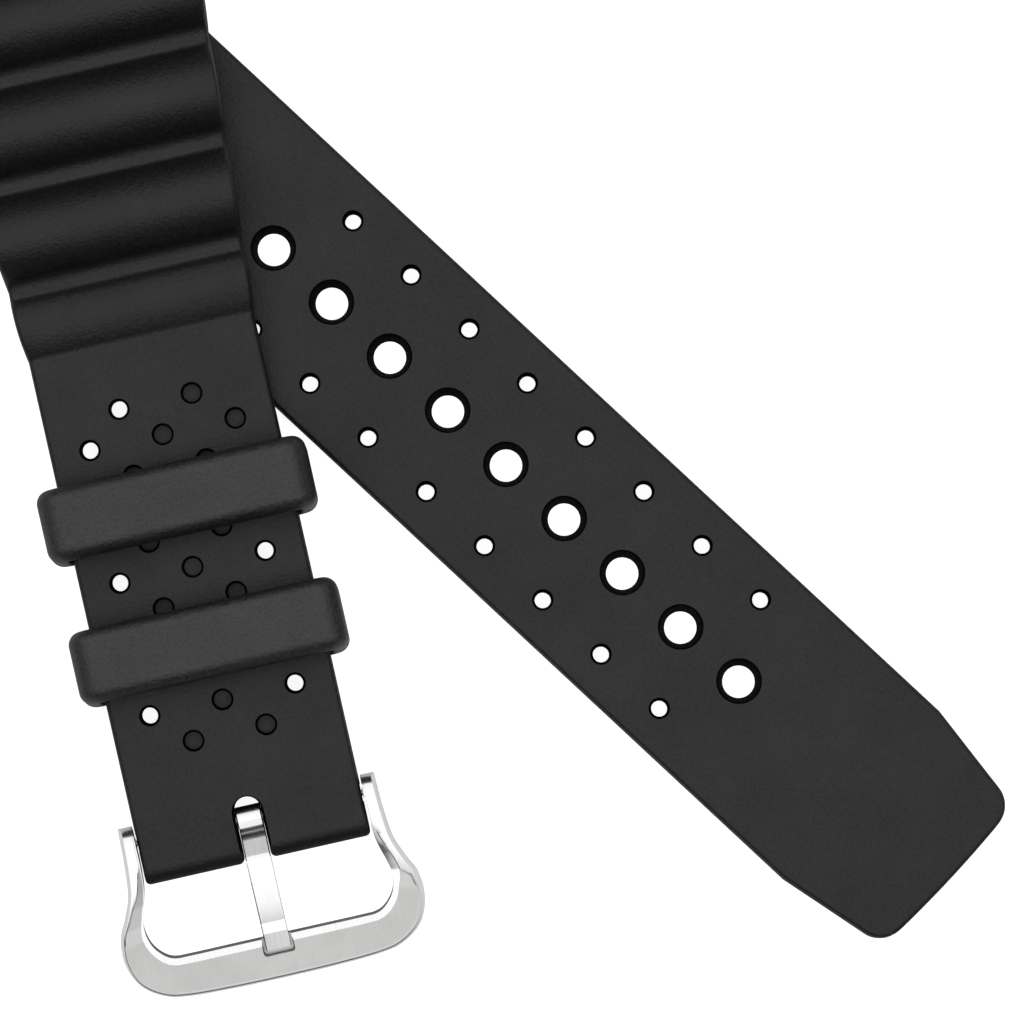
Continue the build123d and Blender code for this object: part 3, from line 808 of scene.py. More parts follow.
def nose_height(along, start, drop):
    """How far the end's rounding has fallen, for an arc that runs level at its start."""
    reach, gone = BUCKLE_END - start, max(0, along - start)
    radius = (reach ** 2 + drop ** 2) / (2 * drop)
    return radius - math.sqrt(max(radius ** 2 - gone ** 2, 0))


def end_section(along):
    """A section of the swollen end."""
    swell_start = BUCKLE_HALF_LENGTH - END_SWELL_RUN
    high, low = MID_HEIGHT + END_THICKNESS / 2, MID_HEIGHT - END_THICKNESS / 2
    top = min(along, BUCKLE_HALF_LENGTH)
    upper = flank(top, (swell_start, STRAP_THICKNESS), (BUCKLE_HALF_LENGTH, high), 0.5)
    lower = flank(top, (swell_start, 0), (BUCKLE_HALF_LENGTH, low), 0.5)
    under_drop = END_THICKNESS - END_NOSE_DROP
    upper -= nose_height(along, BUCKLE_END - END_NOSE_RUN, END_NOSE_DROP)
    lower += nose_height(along, BUCKLE_END - under_drop, under_drop)
    half = half_width_at(along) - fallen(along - (BUCKLE_END - END_CORNER_RADIUS), END_CORNER_RADIUS)
    return section(half, lower, max(upper, lower), along)


print("end section's height over the bar:", END_THICKNESS, "mm")

# %% [markdown]
# ## Lattice and slot
# The lattice lets sweat and water out: rows take turns between two places and three, and only some go
# right through. The slot for the tongue is open at the end. It is drawn once from above, and a loft of
# wider and wider copies makes a cutter that leaves a soft lip.

# %% Lattice and slot
SLOT_WIDTH = 2.34
SLOT_LENGTH = 5.6
SLOT_MOUTH_RADIUS = 0.5
SLOT_RIM_ROUND = 0.35
LATTICE_ROWS = 11
VENTS = {(1, -2), (1, 2), (5, -2), (5, 2), (9, 2), (10, 1)}
LATTICE_ROW_PITCH = 2.92
LATTICE_COLUMN_PITCH = 3.2
LATTICE_FIRST_ROW = 7.56


def lattice_places(kind):
    """Places in the lattice of one kind, vents or dimples, row by row from the buckle end."""
    places = []
    for row in range(LATTICE_ROWS):
        along = BUCKLE_HALF_LENGTH - LATTICE_FIRST_ROW - LATTICE_ROW_PITCH * row
        for column in (-2, 0, 2) if row % 2 else (-1, 1):
            if ((row, column) in VENTS) == (kind == "vents"):
                places.append((LATTICE_COLUMN_PITCH * column, along, 0))
    return places


def points_object(name, places):
    """An object of loose points for a tree to set its copies on."""
    mesh = bpy.data.meshes.new(name)
    mesh.from_pydata(places, [], [])
    return new_object(name, mesh)


def slot_outline(wider):
    """The slot seen from above, drawn wider all round by a length."""
    half = SLOT_WIDTH / 2 + wider
    inside, mouth = BUCKLE_END - SLOT_LENGTH + SLOT_WIDTH / 2, BUCKLE_END - SLOT_MOUTH_RADIUS
    turns = [math.pi * step / 16 for step in range(17)]
    bottom = [(half * math.cos(turn), inside - half * math.sin(turn)) for turn in turns]
    flare = rounded((half, mouth + SLOT_MOUTH_RADIUS), (-1, 1), SLOT_MOUTH_RADIUS, 6)[::-1]
    flare.append((flare[-1][0], BUCKLE_END + OVERRUN))
    return bottom + [(-x, y) for x, y in flare] + flare[::-1]


def slot_cutter():
    """The slot's form, which widens in a round at the upper face."""
    high = MID_HEIGHT + END_THICKNESS / 2
    levels = [(0, -END_THICKNESS - high)] + rim_curve(SLOT_RIM_ROUND, 6)
    levels.append((levels[-1][0], END_THICKNESS))
    rings = [[(x, y, high + up) for x, y in slot_outline(out)] for out, up in levels]
    return all_triangles(lofted("slot_cutter", rings))


print("vents:", len(lattice_places("vents")), "dimples:", len(lattice_places("dimples")))

# %% [markdown]
# ## Buckle half
# The half is lofted whole and cut last, the slot by the same tree as the lattice, so that its walls get
# the painted-shade wall rubber too. The bar's bore comes after the slot and crosses it.

# %% Buckle half
FLAT_STEP = 1.63
SWELL_STEP = 0.4
BAR_BORE_RADIUS = 0.75


def buckle_half():
    """The short rubber half, with its lattice, slot and bores."""
    swell_start = BUCKLE_HALF_LENGTH - END_SWELL_RUN
    nose_start = BUCKLE_END - END_NOSE_RUN
    rings = rib_zone_sections()
    for at in stations(CREASE, swell_start, FLAT_STEP)[1:]:
        rings.append(section(half_width_at(at), 0, STRAP_THICKNESS, at))
    rings += [end_section(at) for at in stations(swell_start, nose_start, SWELL_STEP)[1:]]
    for share in reversed(round_end(18)):
        rings.append(end_section(BUCKLE_END - share * END_NOSE_RUN))
    blank = all_triangles(lofted("buckle_blank", rings))
    blank.data.materials.append(strap_rubber)
    cutters = [vent_cutter(), dimple_cutter(), slot_cutter()]
    cutters.append(cross_drill("head_drill", LUG_BORE_RADIUS, 0, LUG_END_RADIUS))
    cutters.append(cross_drill("bar_drill", BAR_BORE_RADIUS, BUCKLE_HALF_LENGTH, MID_HEIGHT))
    spots = [points_object(kind, lattice_places(kind)) for kind in ("vents", "dimples")]
    spots.append(points_object("slot_place", [(0, 0, 0)]))
    for cutter, places in zip(cutters, spots):
        add_holes(blank, set_of_holes, Cutter=cutter, Places=places)
    for cutter in cutters[3:]:
        cut_with(blank, cutter)
    return as_plain_mesh(blank, "buckle_half_rubber", buckle_half_place, cutters + spots)


dressed(reworked(smooth(buckle_half(), SHARP), part_rims), "buckle_strap", "buckle_half")

# %% [markdown]
# ## Keepers
# A keeper is a short loop of softer rubber with fat round edges. Its section, a rectangle with large
# rounds outside and small ones inside, is carried round a rounded rectangle and joined to itself. It
# sits a little askew on the strap, its lower side nearer to the buckle.

# %% Keepers
KEEPER_LENGTH = 6.35
KEEPER_WALL = 1.5
KEEPER_SIDE_WALL = 1.6
KEEPER_SIDE_GAP = 0.35
KEEPER_UNDER_GAP = 0.3
KEEPER_HEAD_GAP = 0.25
KEEPER_END_RADIUS = 1.9
KEEPER_BORE_RADIUS = 0.5
KEEPER_EDGE_RADIUS = 1.15
KEEPER_INNER_ROUND = 0.2
KEEPER_LEAN = 0.07
KEEPER_SHARP = 60
KEEPER_PLACES = {"upper": 27.9, "lower": 15.5}


def loop_points(half_width, half_height, radius, corner_steps=10, side_steps=8):
    """Points round a rounded rectangle, with as many for each corner and side whatever its size."""
    points = []
    for quarter, (sx, sz) in enumerate(CORNERS):
        middle = Vector((sx * (half_width - radius), sz * (half_height - radius)))
        for step in range(corner_steps + 1):
            turn = math.pi / 2 * (quarter + step / corner_steps)
            points.append(middle + radius * Vector((math.cos(turn), math.sin(turn))))
    spaced = []
    for index, point in enumerate(points):
        spaced.append(point)
        if index % (corner_steps + 1) == corner_steps:
            following = points[(index + 1) % len(points)]
            for step in range(1, side_steps):
                spaced.append(point.lerp(following, step / side_steps))
    return spaced


def keeper_section(inner, outer):
    """The ring of one section, from its point on the bore to its point on the outside."""
    wall, half = (outer - inner).length, KEEPER_LENGTH / 2
    edge = min(KEEPER_EDGE_RADIUS, wall * 0.8)
    ring = rounded((-half, 0), (-1, -1), KEEPER_INNER_ROUND)
    ring += rounded((half, 0), (1, -1), KEEPER_INNER_ROUND)
    ring += rounded((half, wall), (1, 1), edge, 8)
    ring += rounded((-half, wall), (-1, 1), edge, 8)
    way = (outer - inner).normalized()
    points = [(inner.x + way.x * out, along, inner.y + way.y * out) for along, out in ring]
    return [(x, along - KEEPER_LEAN * z, z) for x, along, z in points]


def keeper(name, from_bar):
    """One keeper at its distance from the buckle's bar."""
    bore_half = STRAP_WIDTH / 2 + KEEPER_SIDE_GAP
    bore_height = KEEPER_UNDER_GAP + 2 * STRAP_THICKNESS + KEEPER_HEAD_GAP
    inner = loop_points(bore_half, bore_height / 2, KEEPER_BORE_RADIUS)
    outer = loop_points(bore_half + KEEPER_SIDE_WALL, bore_height / 2 + KEEPER_WALL, KEEPER_END_RADIUS)
    rings = [keeper_section(near, far) for near, far in zip(inner, outer)]
    middle = (0, BUCKLE_HALF_LENGTH - from_bar, bore_height / 2 - KEEPER_UNDER_GAP)
    made = lofted(name, rings, buckle_half_place @ Matrix.Translation(middle), round_trip=True)
    made.data.materials.append(keeper_rubber)
    return smooth(made, KEEPER_SHARP)


for which, from_bar in KEEPER_PLACES.items():
    loop = keeper("keeper_loop_" + which, from_bar)
    dressed(loop, "keeper_" + which, which + "_loop")

# %% [markdown]
# ## Satin steel
# The buckle is steel, blasted and then brushed. Brushing leaves fine lines in one direction, which
# spread the reflection across them. A noise stretched along the lines drives the colour and a faint
# bump, and a broad one the gloss. The bevels, the ears and the tongue are polished, so their lines are
# weaker and their gloss higher, and a paler colour than the satin's paints a stronger highlight on them.
# Walls inside the window and the recess, and the tongue's sheared sides, get a dark steel that paints in
# their shade.

# %% Steel
LINE_DEPTH = 0.00002
LINE_SHADE = 0.93
GLOSS_SPAN = 0.1
BRUSHED = (9000, 260, 2600)
SATIN, SATIN_GLOSS = (0.605, 0.6, 0.595), 0.36
# The bright steel's pale colour is a painted highlight; its lower roughness is the real polish.
PAINTED_HIGHLIGHT_TINT, BRIGHT_GLOSS = (0.97, 0.965, 0.96), 0.22


def steel_material(name, colour, gloss, line_scale, line_bump):
    """Steel with fine lines along one axis, given as marks per metre on each axis."""
    tints = [value * LINE_SHADE for value in colour], colour
    span = gloss * (1 - GLOSS_SPAN), gloss * (1 + GLOSS_SPAN)
    lines, broad = (line_scale, {"Scale": 1, "Detail": 3}), {"Scale": 320, "Detail": 3}
    return finish(name, {"Metallic": 1}, tints, span, lines, broad, (line_bump, LINE_DEPTH))


def fading_steel(start, stop):
    """Polished steel with a painted highlight that turns satin between two places, as where an ear runs
    out into the flat.
    """
    material = steel_material("ear_steel", PAINTED_HIGHLIGHT_TINT, BRIGHT_GLOSS, BRUSHED, 0.12)
    way = stop - start
    grow(material.node_tree, {
        "moved": ("ShaderNodeVectorMath", {"operation": "SUBTRACT", "1": start}),
        "along": ("ShaderNodeVectorMath", {"operation": "DOT_PRODUCT", "1": way / way.length_squared}),
        "fade": ("ShaderNodeMapRange", {"interpolation_type": "SMOOTHSTEP"}),
        "fading_tint": ("ShaderNodeMix", {"data_type": "RGBA", "B": (*SATIN, 1)}),
        "fading_gloss": ("ShaderNodeMix", {"data_type": "FLOAT", "B": SATIN_GLOSS}),
    }, """
        place.Object > moved.0
        moved.Vector > along.0
        along.Value > fade.Value
        fade.Result > fading_tint.Factor
        fade.Result > fading_gloss.Factor
        tint.Result > fading_tint.A
        gloss.Result > fading_gloss.A
        fading_tint.Result > Principled BSDF.Base Color
        fading_gloss.Result > Principled BSDF.Roughness
    """)
    return material


satin_steel = steel_material("satin_steel", SATIN, SATIN_GLOSS, BRUSHED, 0.25)
# Pale colour that paints in a highlight, with the real polish's low roughness
painted_highlight_steel = steel_material("painted_highlight_steel", PAINTED_HIGHLIGHT_TINT, BRIGHT_GLOSS, BRUSHED, 0.08)
# A dark steel that paints in shade on the walls inside the window and the recess, and on the tongue's
# sides
painted_shade_steel = steel_material("painted_shade_steel", (0.12, 0.12, 0.12), 0.5, BRUSHED, 0.1)
# The tongue's steel has the same pale colour, a painted highlight
tongue_steel = steel_material("polished_steel_with_painted_highlight", PAINTED_HIGHLIGHT_TINT, BRIGHT_GLOSS, BRUSHED, 0.1)
bar_steel = steel_material("plain_steel", (0.58, 0.575, 0.57), 0.3, (600, 9000, 9000), 0.1)
print("steel finishes:", [m.name for m in (satin_steel, painted_highlight_steel, painted_shade_steel, tongue_steel)])

# %% [markdown]
# ## Outline and ridges of the frame
# The frame is a flat front bar whose two arms rise into upright ears. The flat is brushed by hand, and
# where it meets an ear it leaves a crisp ridge, on one arm a long one that wanders outwards, and on the
# other one that ends in a small hook. Such a form has no plain rule, so tables hold it: matched points
# on both outlines, and for each arm how wide the inner bevel is, where the ridge runs and how high the
# ear stands over the flat.

# %% Outline and ridges
# Matched places (across, along) on the inner and the outer outline, from the ear to the front's middle
FRAME_PLAN = [
    (10.05, -1.55, 11.30, -1.55), (10.05, 0.0, 11.32, 0.0), (10.05, 2.0, 11.42, 1.95),
    (10.20, 4.1, 11.72, 4.4), (10.72, 6.1, 12.50, 6.4), (10.95, 7.4, 13.14, 7.8),
    (10.62, 8.8, 13.25, 9.9), (9.86, 9.8, 12.40, 12.0), (8.95, 10.32, 10.60, 13.35),
    (7.60, 10.4, 8.40, 13.86), (4.00, 10.4, 4.20, 14.06), (0.00, 10.4, 0.00, 14.10),
]
# Rows of (place along, inner bevel's width, ridge's share of the width, height of the ear over the flat)
LONG_RIDGE = [
    (1.8, 0.10, 0.12, 0.0), (2.9, 0.10, 0.28, 0.07), (4.2, 0.12, 0.42, 0.15), (5.4, 0.14, 0.60, 0.20),
    (7.2, 0.22, 0.72, 0.20), (8.4, 0.42, 0.86, 0.0), (9.8, 0.46, 0.86, 0.0), (12.0, 0.60, 0.86, 0.0),
]
HOOKED_RIDGE = [
    (2.6, 0.10, 0.10, 0.0), (4.6, 0.46, 0.36, 0.05), (5.5, 0.64, 0.37, 0.10), (6.6, 0.70, 0.36, 0.15),
    (7.1, 0.68, 0.36, 0.18), (7.7, 0.60, 0.66, 0.17), (8.7, 0.48, 0.74, 0.0), (12.0, 0.60, 0.86, 0.0),
]


def through(knots, share):
    """A smooth curve through evenly counted knots, each a tuple of numbers."""
    at = min(share * (len(knots) - 1), len(knots) - 1.000001)
    index = int(at)
    t = at - index
    p = [knots[min(max(index + step, 0), len(knots) - 1)] for step in (-1, 0, 1, 2)]
    weights = (
        (-t + 2 * t ** 2 - t ** 3) / 2,
        (2 - 5 * t ** 2 + 3 * t ** 3) / 2,
        (t + 4 * t ** 2 - 3 * t ** 3) / 2,
        (-t ** 2 + t ** 3) / 2,
    )
    return tuple(sum(w * knot[axis] for w, knot in zip(weights, p)) for axis in range(len(knots[0])))


def eased(value, start, stop):
    """A share that goes smoothly from 0 to 1 between two values."""
    t = min(max((value - start) / (stop - start), 0), 1)
    return t * t * (3 - 2 * t)


def read_off(rows, at):
    """The values of a row table at a place, in a straight line between its rows."""
    if at <= rows[0][0]:
        return rows[0][1:]
    for before, after in zip(rows, rows[1:]):
        if at <= after[0]:
            share = (at - before[0]) / (after[0] - before[0])
            return tuple(low + (high - low) * share for low, high in zip(before[1:], after[1:]))
    return rows[-1][1:]


print("inner outline's first and last points:", FRAME_PLAN[0][:2], FRAME_PLAN[-1][:2])

# %% [markdown]
# ## Section of the frame
# The section is a band with twelve corners, from the window round to the outside: a bevel, the brushed
# flat, the ridge, and the ear's own level past it. Its height follows the ear's round end, then eases
# to that of the front bar. As every section has the same corners, each strip of faces between them can
# have its own steel.

# %% Section of the frame
EAR_RADIUS = 1.55
FRAME_THICKNESS = 2.1
FRAME_RISE = 0.2
EAR_END = 0.05
TOP_LEVEL_AT = 8.2
UNDER_LEVEL_AT = 7.6
BEVEL_SLOPE = 0.14
BEVEL_STEEPER = 0.16
UNDER_ROUND = 0.12
OUTER_BEVEL = 0.32
OUTER_BEVEL_LESS = 0.12
OUTER_FALL = 0.56
FRONT_CORNER = (7.0, 9.0)
FRONT_BAR = (8, 11)
MITRE = 0.02
RIDGE_RUN = 0.08
FRAME_CROWN = 0.03
# Which steel each face of a section has: 0 bright, whose pale colour paints a highlight, 1 satin, 2 a
# dark steel that paints the shade on the window's wall, 3 the ears' own
FRAME_FINISHES = (0, 0, 0, 0, 3, 3, 3, 1, 1, 0, 2, 2)


def frame_section(share, sign, rows):
    """One section of the frame's arm, from its share of the way from ear to front middle."""
    ix, iy, ox, oy = through(FRAME_PLAN, share)
    middle = (iy + oy) / 2
    front_high, front_low = FRAME_RISE + FRAME_THICKNESS / 2, FRAME_RISE - FRAME_THICKNESS / 2
    if middle < 0:
        high = max(math.sqrt(max(EAR_RADIUS ** 2 - middle ** 2, 0)), EAR_END)
        low = -high
    else:
        high = EAR_RADIUS + (front_high - EAR_RADIUS) * eased(middle, 0, TOP_LEVEL_AT)
        low = -EAR_RADIUS + (front_low + EAR_RADIUS) * eased(middle, 0, UNDER_LEVEL_AT)
    wide, tall = math.hypot(ox - ix, oy - iy), high - low
    # In the low sections at the ear's round end all of these shrink with the height
    bevel, ridge, step = read_off(rows, middle)
    bevel = min(bevel, tall * 0.4)
    slope = BEVEL_SLOPE + BEVEL_STEEPER * eased(middle, *FRONT_CORNER)
    corner = min(UNDER_ROUND, tall * 0.2)
    outer = min(OUTER_BEVEL - OUTER_BEVEL_LESS * eased(middle, *FRONT_BAR), tall * 0.2)
    fall = min(OUTER_FALL, tall * 0.3)
    flat = high - step
    foot = min(max(bevel + MITRE, wide * ridge), wide - outer - 2 * RIDGE_RUN)
    crest = foot + RIDGE_RUN
    outline = [
        (corner, low), (wide - corner, low), (wide, low + corner), (wide, high - fall),
        (wide - outer, high),
        ((crest + wide - outer) / 2, high + FRAME_CROWN * eased(tall, 0, 1)), (crest, high),
        (foot, flat), ((foot + bevel) / 2, flat), (bevel, flat),
        (0, flat - bevel * slope), (0, low + corner),
    ]
    way = ((ox - ix) / wide, (oy - iy) / wide)
    return [(sign * (ix + way[0] * u), iy + way[1] * u, z) for u, z in outline]


print("corners of the frame's section:", len(FRAME_FINISHES))

# %% [markdown]
# ## Buckle frame
# One arm is lofted from ear to front and the other back again, each with its own ridge, so the frame is
# a single band. It leans down about the bar until its front touches the ground. Then the bar's holes
# and the recess for the tongue's tip are cut.

# %% Buckle frame
FRAME_REACH = 14.1
WINDOW_REACH = 10.4
RECESS_WIDTH = 2.8
RECESS_LENGTH = 1.55
RECESS_DEPTH = 0.8
RECESS_FLARE = 0.1
RECESS_STEEP = 0.3
RECESS_CORNER = 0.3
EAR_HOLE_RADIUS = 0.5
FRAME_STEP = 0.006
FRAME_SHARP = 16
EAR_BRIGHT_TO = 4.5
EAR_SATIN_FROM = 9.0
# How far the recess's cutter lies inside its rim, and how high over the flat, level by level
RECESS_LEVELS = [(RECESS_FLARE, -RECESS_DEPTH), (RECESS_FLARE, -0.12), (0, 0.02), (0, 0.5)]


def frame_shares():
    """Shares along an arm, crowded at the round end of the ear."""
    start = 1 / (len(FRAME_PLAN) - 1)
    return [start * share for share in round_end(10)] + stations(start, 1, FRAME_STEP)


def recess_cutter():
    """The form of the recess, with round corners and a small flare at its rim, open to the window."""
    rings = []
    for inside, up in RECESS_LEVELS:
        half, far = RECESS_WIDTH / 2 - inside, WINDOW_REACH + RECESS_LENGTH - inside
        level = FRAME_RISE + FRAME_THICKNESS / 2 + up
        plan = [(-half, WINDOW_REACH - 1), (half, WINDOW_REACH - 1)]
        plan += rounded((half, far), (1, 1), RECESS_CORNER)
        plan += rounded((-half, far), (-1, 1), RECESS_CORNER)
        rings.append([(x, y, level) for x, y in plan])
    made = all_triangles(lofted("recess_cutter", rings))
    # Steep walls of the recess get the dark steel that paints in their shade, the rest satin
    for face in made.data.polygons:
        face.material_index = 2 if abs(face.normal.z) < RECESS_STEEP else 1
    return made


def buckle_frame():
    """The frame, with a hole in each ear and a recess for the tongue."""
    reach = math.hypot(FRAME_REACH, FRAME_THICKNESS / 2 - FRAME_RISE)
    drop = (FRAME_THICKNESS / 2 - FRAME_RISE) / reach
    pitch = math.asin(bar_axis.z / MM / reach) - math.asin(drop)
    forwards = Vector((0, -math.cos(pitch), -math.sin(pitch)))
    at = place(bar_axis, across_buckle_half, forwards)
    near = [frame_section(share, 1, LONG_RIDGE) for share in frame_shares()]
    far = [frame_section(share, -1, HOOKED_RIDGE) for share in reversed(frame_shares()[:-1])]
    blank = lofted("frame_blank", near + far, finishes=FRAME_FINISHES)
    ear_steel = fading_steel(at @ Vector((0, EAR_BRIGHT_TO, 0)), at @ Vector((0, EAR_SATIN_FROM, 0)))
    for steel in (painted_highlight_steel, satin_steel, painted_shade_steel, ear_steel):
        blank.data.materials.append(steel)
    all_triangles(blank)
    cutters = [cross_drill("ear_drill", EAR_HOLE_RADIUS, 0, 0), recess_cutter()]
    for cutter in cutters:
        cut_with(blank, cutter)
    return as_plain_mesh(blank, "buckle_frame_body", at, cutters), at


frame_body, frame_place = buckle_frame()
dressed(smooth(frame_body, FRAME_SHARP), "buckle_frame", "frame")

# %% [markdown]
# ## Line of the tongue
# The tongue is one strip of steel: rolled round the bar, up over its root, along above the window and
# down into the recess. It is bowed, and two crisp creases near the tip set it down in the recess. So it
# is drawn as the middle line of the strip first, seen from the side.

# %% Line of the tongue
BUCKLE_BAR_DIAMETER = 1.4
RUNNING_GAP = 0.05
TONGUE_THICKNESS = 0.38
TONGUE_REACH = 11.45
TONGUE_NECK_AT = 0.9
TONGUE_NECK_RADIUS = 0.8
TONGUE_RISE = 33.5
TONGUE_ROOT_RUN = 3.4
TONGUE_ROOT_RADIUS = 0.9
TONGUE_BOW_START = 0.014
TONGUE_BOW = 0.09
TONGUE_BAND = 0.95
TONGUE_BAND_SLOPE = 0.03
TONGUE_TIP_RUN = 1.45
TONGUE_TIP_SLOPE = 0.12
TONGUE_LEAVES_AT = 40.0
TONGUE_SEAM_AT = 84.0
TONGUE_END_RUN = 0.5
ROLL_STEPS = 44
BOW_STEPS = 24


def filleted(points, radii, steps=10):
    """A line through points with each corner rounded by an arc of its own radius."""
    line = [Vector(points[0])]
    for before, corner, after, radius in zip(points, points[1:], points[2:], radii):
        before, corner, after = Vector(before), Vector(corner), Vector(after)
        back, on = (before - corner).normalized(), (after - corner).normalized()
        half = back.angle(on) / 2
        centre = corner + (back + on).normalized() * radius / math.sin(half)
        start = (corner + back * radius / math.tan(half) - centre).normalized()
        stop = (corner + on * radius / math.tan(half) - centre).normalized()
        for step in range(steps + 1):
            line.append(centre + start.slerp(stop, step / steps) * radius)
    return line + [Vector(points[-1])]


def tongue_line():
    """Middle line of the strip, from the seam round the bar and out to the tip, as (along, up)."""
    radius = BUCKLE_BAR_DIAMETER / 2 + RUNNING_GAP + TONGUE_THICKNESS / 2
    leave, rise = math.radians(TONGUE_LEAVES_AT), math.radians(TONGUE_RISE)
    first, last = math.radians(TONGUE_SEAM_AT), 1.5 * math.pi + leave
    roll = [first + (last - first) * step / ROLL_STEPS for step in range(ROLL_STEPS + 1)]
    line = [Vector((radius * math.cos(turn), radius * math.sin(turn))) for turn in roll]
    line.insert(0, line[0] + TONGUE_END_RUN * Vector((math.sin(first), -math.cos(first))))
    out = line.pop()
    tip_height = FRAME_RISE + FRAME_THICKNESS / 2 - RECESS_DEPTH + RUNNING_GAP + TONGUE_THICKNESS / 2
    neck = (TONGUE_NECK_AT, out.y + (TONGUE_NECK_AT - out.x) * math.tan(leave))
    root = (TONGUE_ROOT_RUN, neck[1] + (TONGUE_ROOT_RUN - neck[0]) * math.tan(rise))
    tip = (TONGUE_REACH, tip_height)
    last_bend = (TONGUE_REACH - TONGUE_TIP_RUN, tip_height + TONGUE_TIP_RUN * TONGUE_TIP_SLOPE)
    first_bend = (last_bend[0] - TONGUE_BAND, last_bend[1] + TONGUE_BAND * TONGUE_BAND_SLOPE)
    corners = [out, neck, root, (root[0] + 1, root[1] + TONGUE_BOW_START)]
    line += filleted(corners, [TONGUE_NECK_RADIUS, TONGUE_ROOT_RADIUS])[:-1]
    start = line[-1]
    for step in range(1, BOW_STEPS + 1):
        share = step / BOW_STEPS
        bow = TONGUE_BOW * 4 * share * (1 - share)
        line.append(start.lerp(Vector(first_bend), share) + Vector((0, bow)))
    return line + [Vector(last_bend), Vector(tip)]


print("points on the tongue's line:", len(tongue_line()))

# %% [markdown]
# ## Tongue
# The loft carries a small section with rounded edges along that line. The faces of the strip are
# polished, with a highlight painted in their pale colour, and its sheared sides get a dark steel that
# paints in their shade.

# %% Tongue
TONGUE_WIDTH = 2.2
TONGUE_EDGE = 0.1
TONGUE_SHARP = 4
# Which steel each face of the strip's section has: 0 polished, with a painted highlight, 1 a dark steel
# of painted shade on its sheared sides
TONGUE_FINISHES = (1, 0, 0, 0, 1, 1, 1, 0, 0, 0, 1, 1)


def strip_section(point, way, half_width):
    """The strip's section at a point of its line, with lightly rounded edges."""
    half = TONGUE_THICKNESS / 2
    normal = Vector((-way.y, way.x))
    ring = []
    for sx, sz in CORNERS:
        ring += rounded((sx * half_width, sz * half), (sx, sz), TONGUE_EDGE, 2)
    return [(x, point.x + normal.x * z, point.y + normal.y * z) for x, z in ring]


def tongue():
    """The rolled strip."""
    line = tongue_line()
    rings = []
    for index, point in enumerate(line):
        before, after = line[max(index - 1, 0)], line[min(index + 1, len(line) - 1)]
        rings.append(strip_section(point, (after - before).normalized(), TONGUE_WIDTH / 2))
    made = lofted("buckle_tongue_strip", rings, frame_place, finishes=TONGUE_FINISHES)
    made.data.materials.append(tongue_steel)
    made.data.materials.append(painted_shade_steel)
    return smooth(made, TONGUE_SHARP)


dressed(tongue(), "buckle_tongue", "tongue")

# %% [markdown]
# ## Wound springs
# The spring inside a bar is a helix: the Spiral node draws it, and Curve to Mesh gives it its wire. It
# comes in two halves, one from the bar's middle towards each tip.

# %% Wound springs
BAR_WALL = 0.18
WIRE_DIAMETER = 0.16
COIL_PITCH = 0.42
BAR_AIR = 0.02
SPRING_INPUTS = {
    "Radius": "Float", "Length": "Float", "Turns": "Float", "Wire": "Float", "Steel": "Material",
}

wound_spring = new_tree(
    "wound_spring", SPRING_INPUTS, "Spring", {
        "helix": ("GeometryNodeCurveSpiral", {"Resolution": 16}),
        "wire": ("GeometryNodeCurvePrimitiveCircle", {"Resolution": 8}),
        "wound": ("GeometryNodeCurveToMesh", {"Fill Caps": True}),
        "real": ("GeometryNodeRealizeInstances", {}),
        "steel": ("GeometryNodeSetMaterial", {}),
    }, """
        given.Turns > helix.Rotations
        given.Radius > helix.Start Radius
        given.Radius > helix.End Radius
        given.Length > helix.Height
        given.Wire > wire.Radius
        helix.Curve > wound.Curve
        wire.Curve > wound.Profile Curve
        wound.Mesh > real.Geometry
        real.Geometry > steel.Geometry
        given.Steel > steel.Material
        steel.Geometry > result.Spring
    """,
)


def coil(name, diameter, reach, side, at):
    """One half of the spring, from the bar's middle to a head."""
    blank = points_object(name + "_start", [(0, 0, 0)])
    use_tree(blank, wound_spring, {
        "Radius": diameter / 2 - BAR_WALL - RUNNING_GAP - WIRE_DIAMETER / 2,
        "Length": reach - WIRE_DIAMETER - 2 * BAR_AIR,
        "Turns": float(round(reach / COIL_PITCH)), "Wire": WIRE_DIAMETER / 2, "Steel": bar_steel,
    })
    lay = Matrix.Rotation(side * math.pi / 2, 4, "Y")
    start = Matrix.Translation((0, 0, WIRE_DIAMETER / 2 + BAR_AIR))
    return as_plain_mesh(blank, name, at @ lay @ start, [])


print("inputs of a spring:", list(SPRING_INPUTS))

# %% [markdown]
# ## Sprung bars
# Each bar is a thin tube crimped over two stepped tips, which the spring pushes apart. A tip has a head
# that stays in the tube, a thin shank through the crimp and an end that enters the watch or the buckle.
# All of these are turned forms, and one function builds all three bars.

# %% Sprung bars
LUG_WIDTH = 22.0
EAR_GAP = 20.1
LUG_BAR_DIAMETER = 1.8
BAR_CRIMP = 0.4
TIP_DIAMETER = 0.9
SHANK_DIAMETER = 0.5
TIP_LENGTH = 1.0
TIP_SETBACK = 0.1
TIP_TRAVEL = 1.1
HEAD_LENGTH = 0.8
TIP_ROUND = 0.12


def bar_tube(name, diameter, half, at):
    """The tube, with both ends turned in over the tips."""
    outer, inner, neck = diameter / 2, diameter / 2 - BAR_WALL, SHANK_DIAMETER / 2 + RUNNING_GAP
    right = [(inner, half - BAR_CRIMP), (neck, half - BAR_CRIMP), (neck, half)]
    rim = rounded((half, outer), (1, 1), TIP_ROUND, 3)
    right += [(radius, height) for height, radius in rim]
    profile = right + [(radius, -height) for radius, height in reversed(right)]
    return turned(name, profile + profile[:1], at, axis="X")


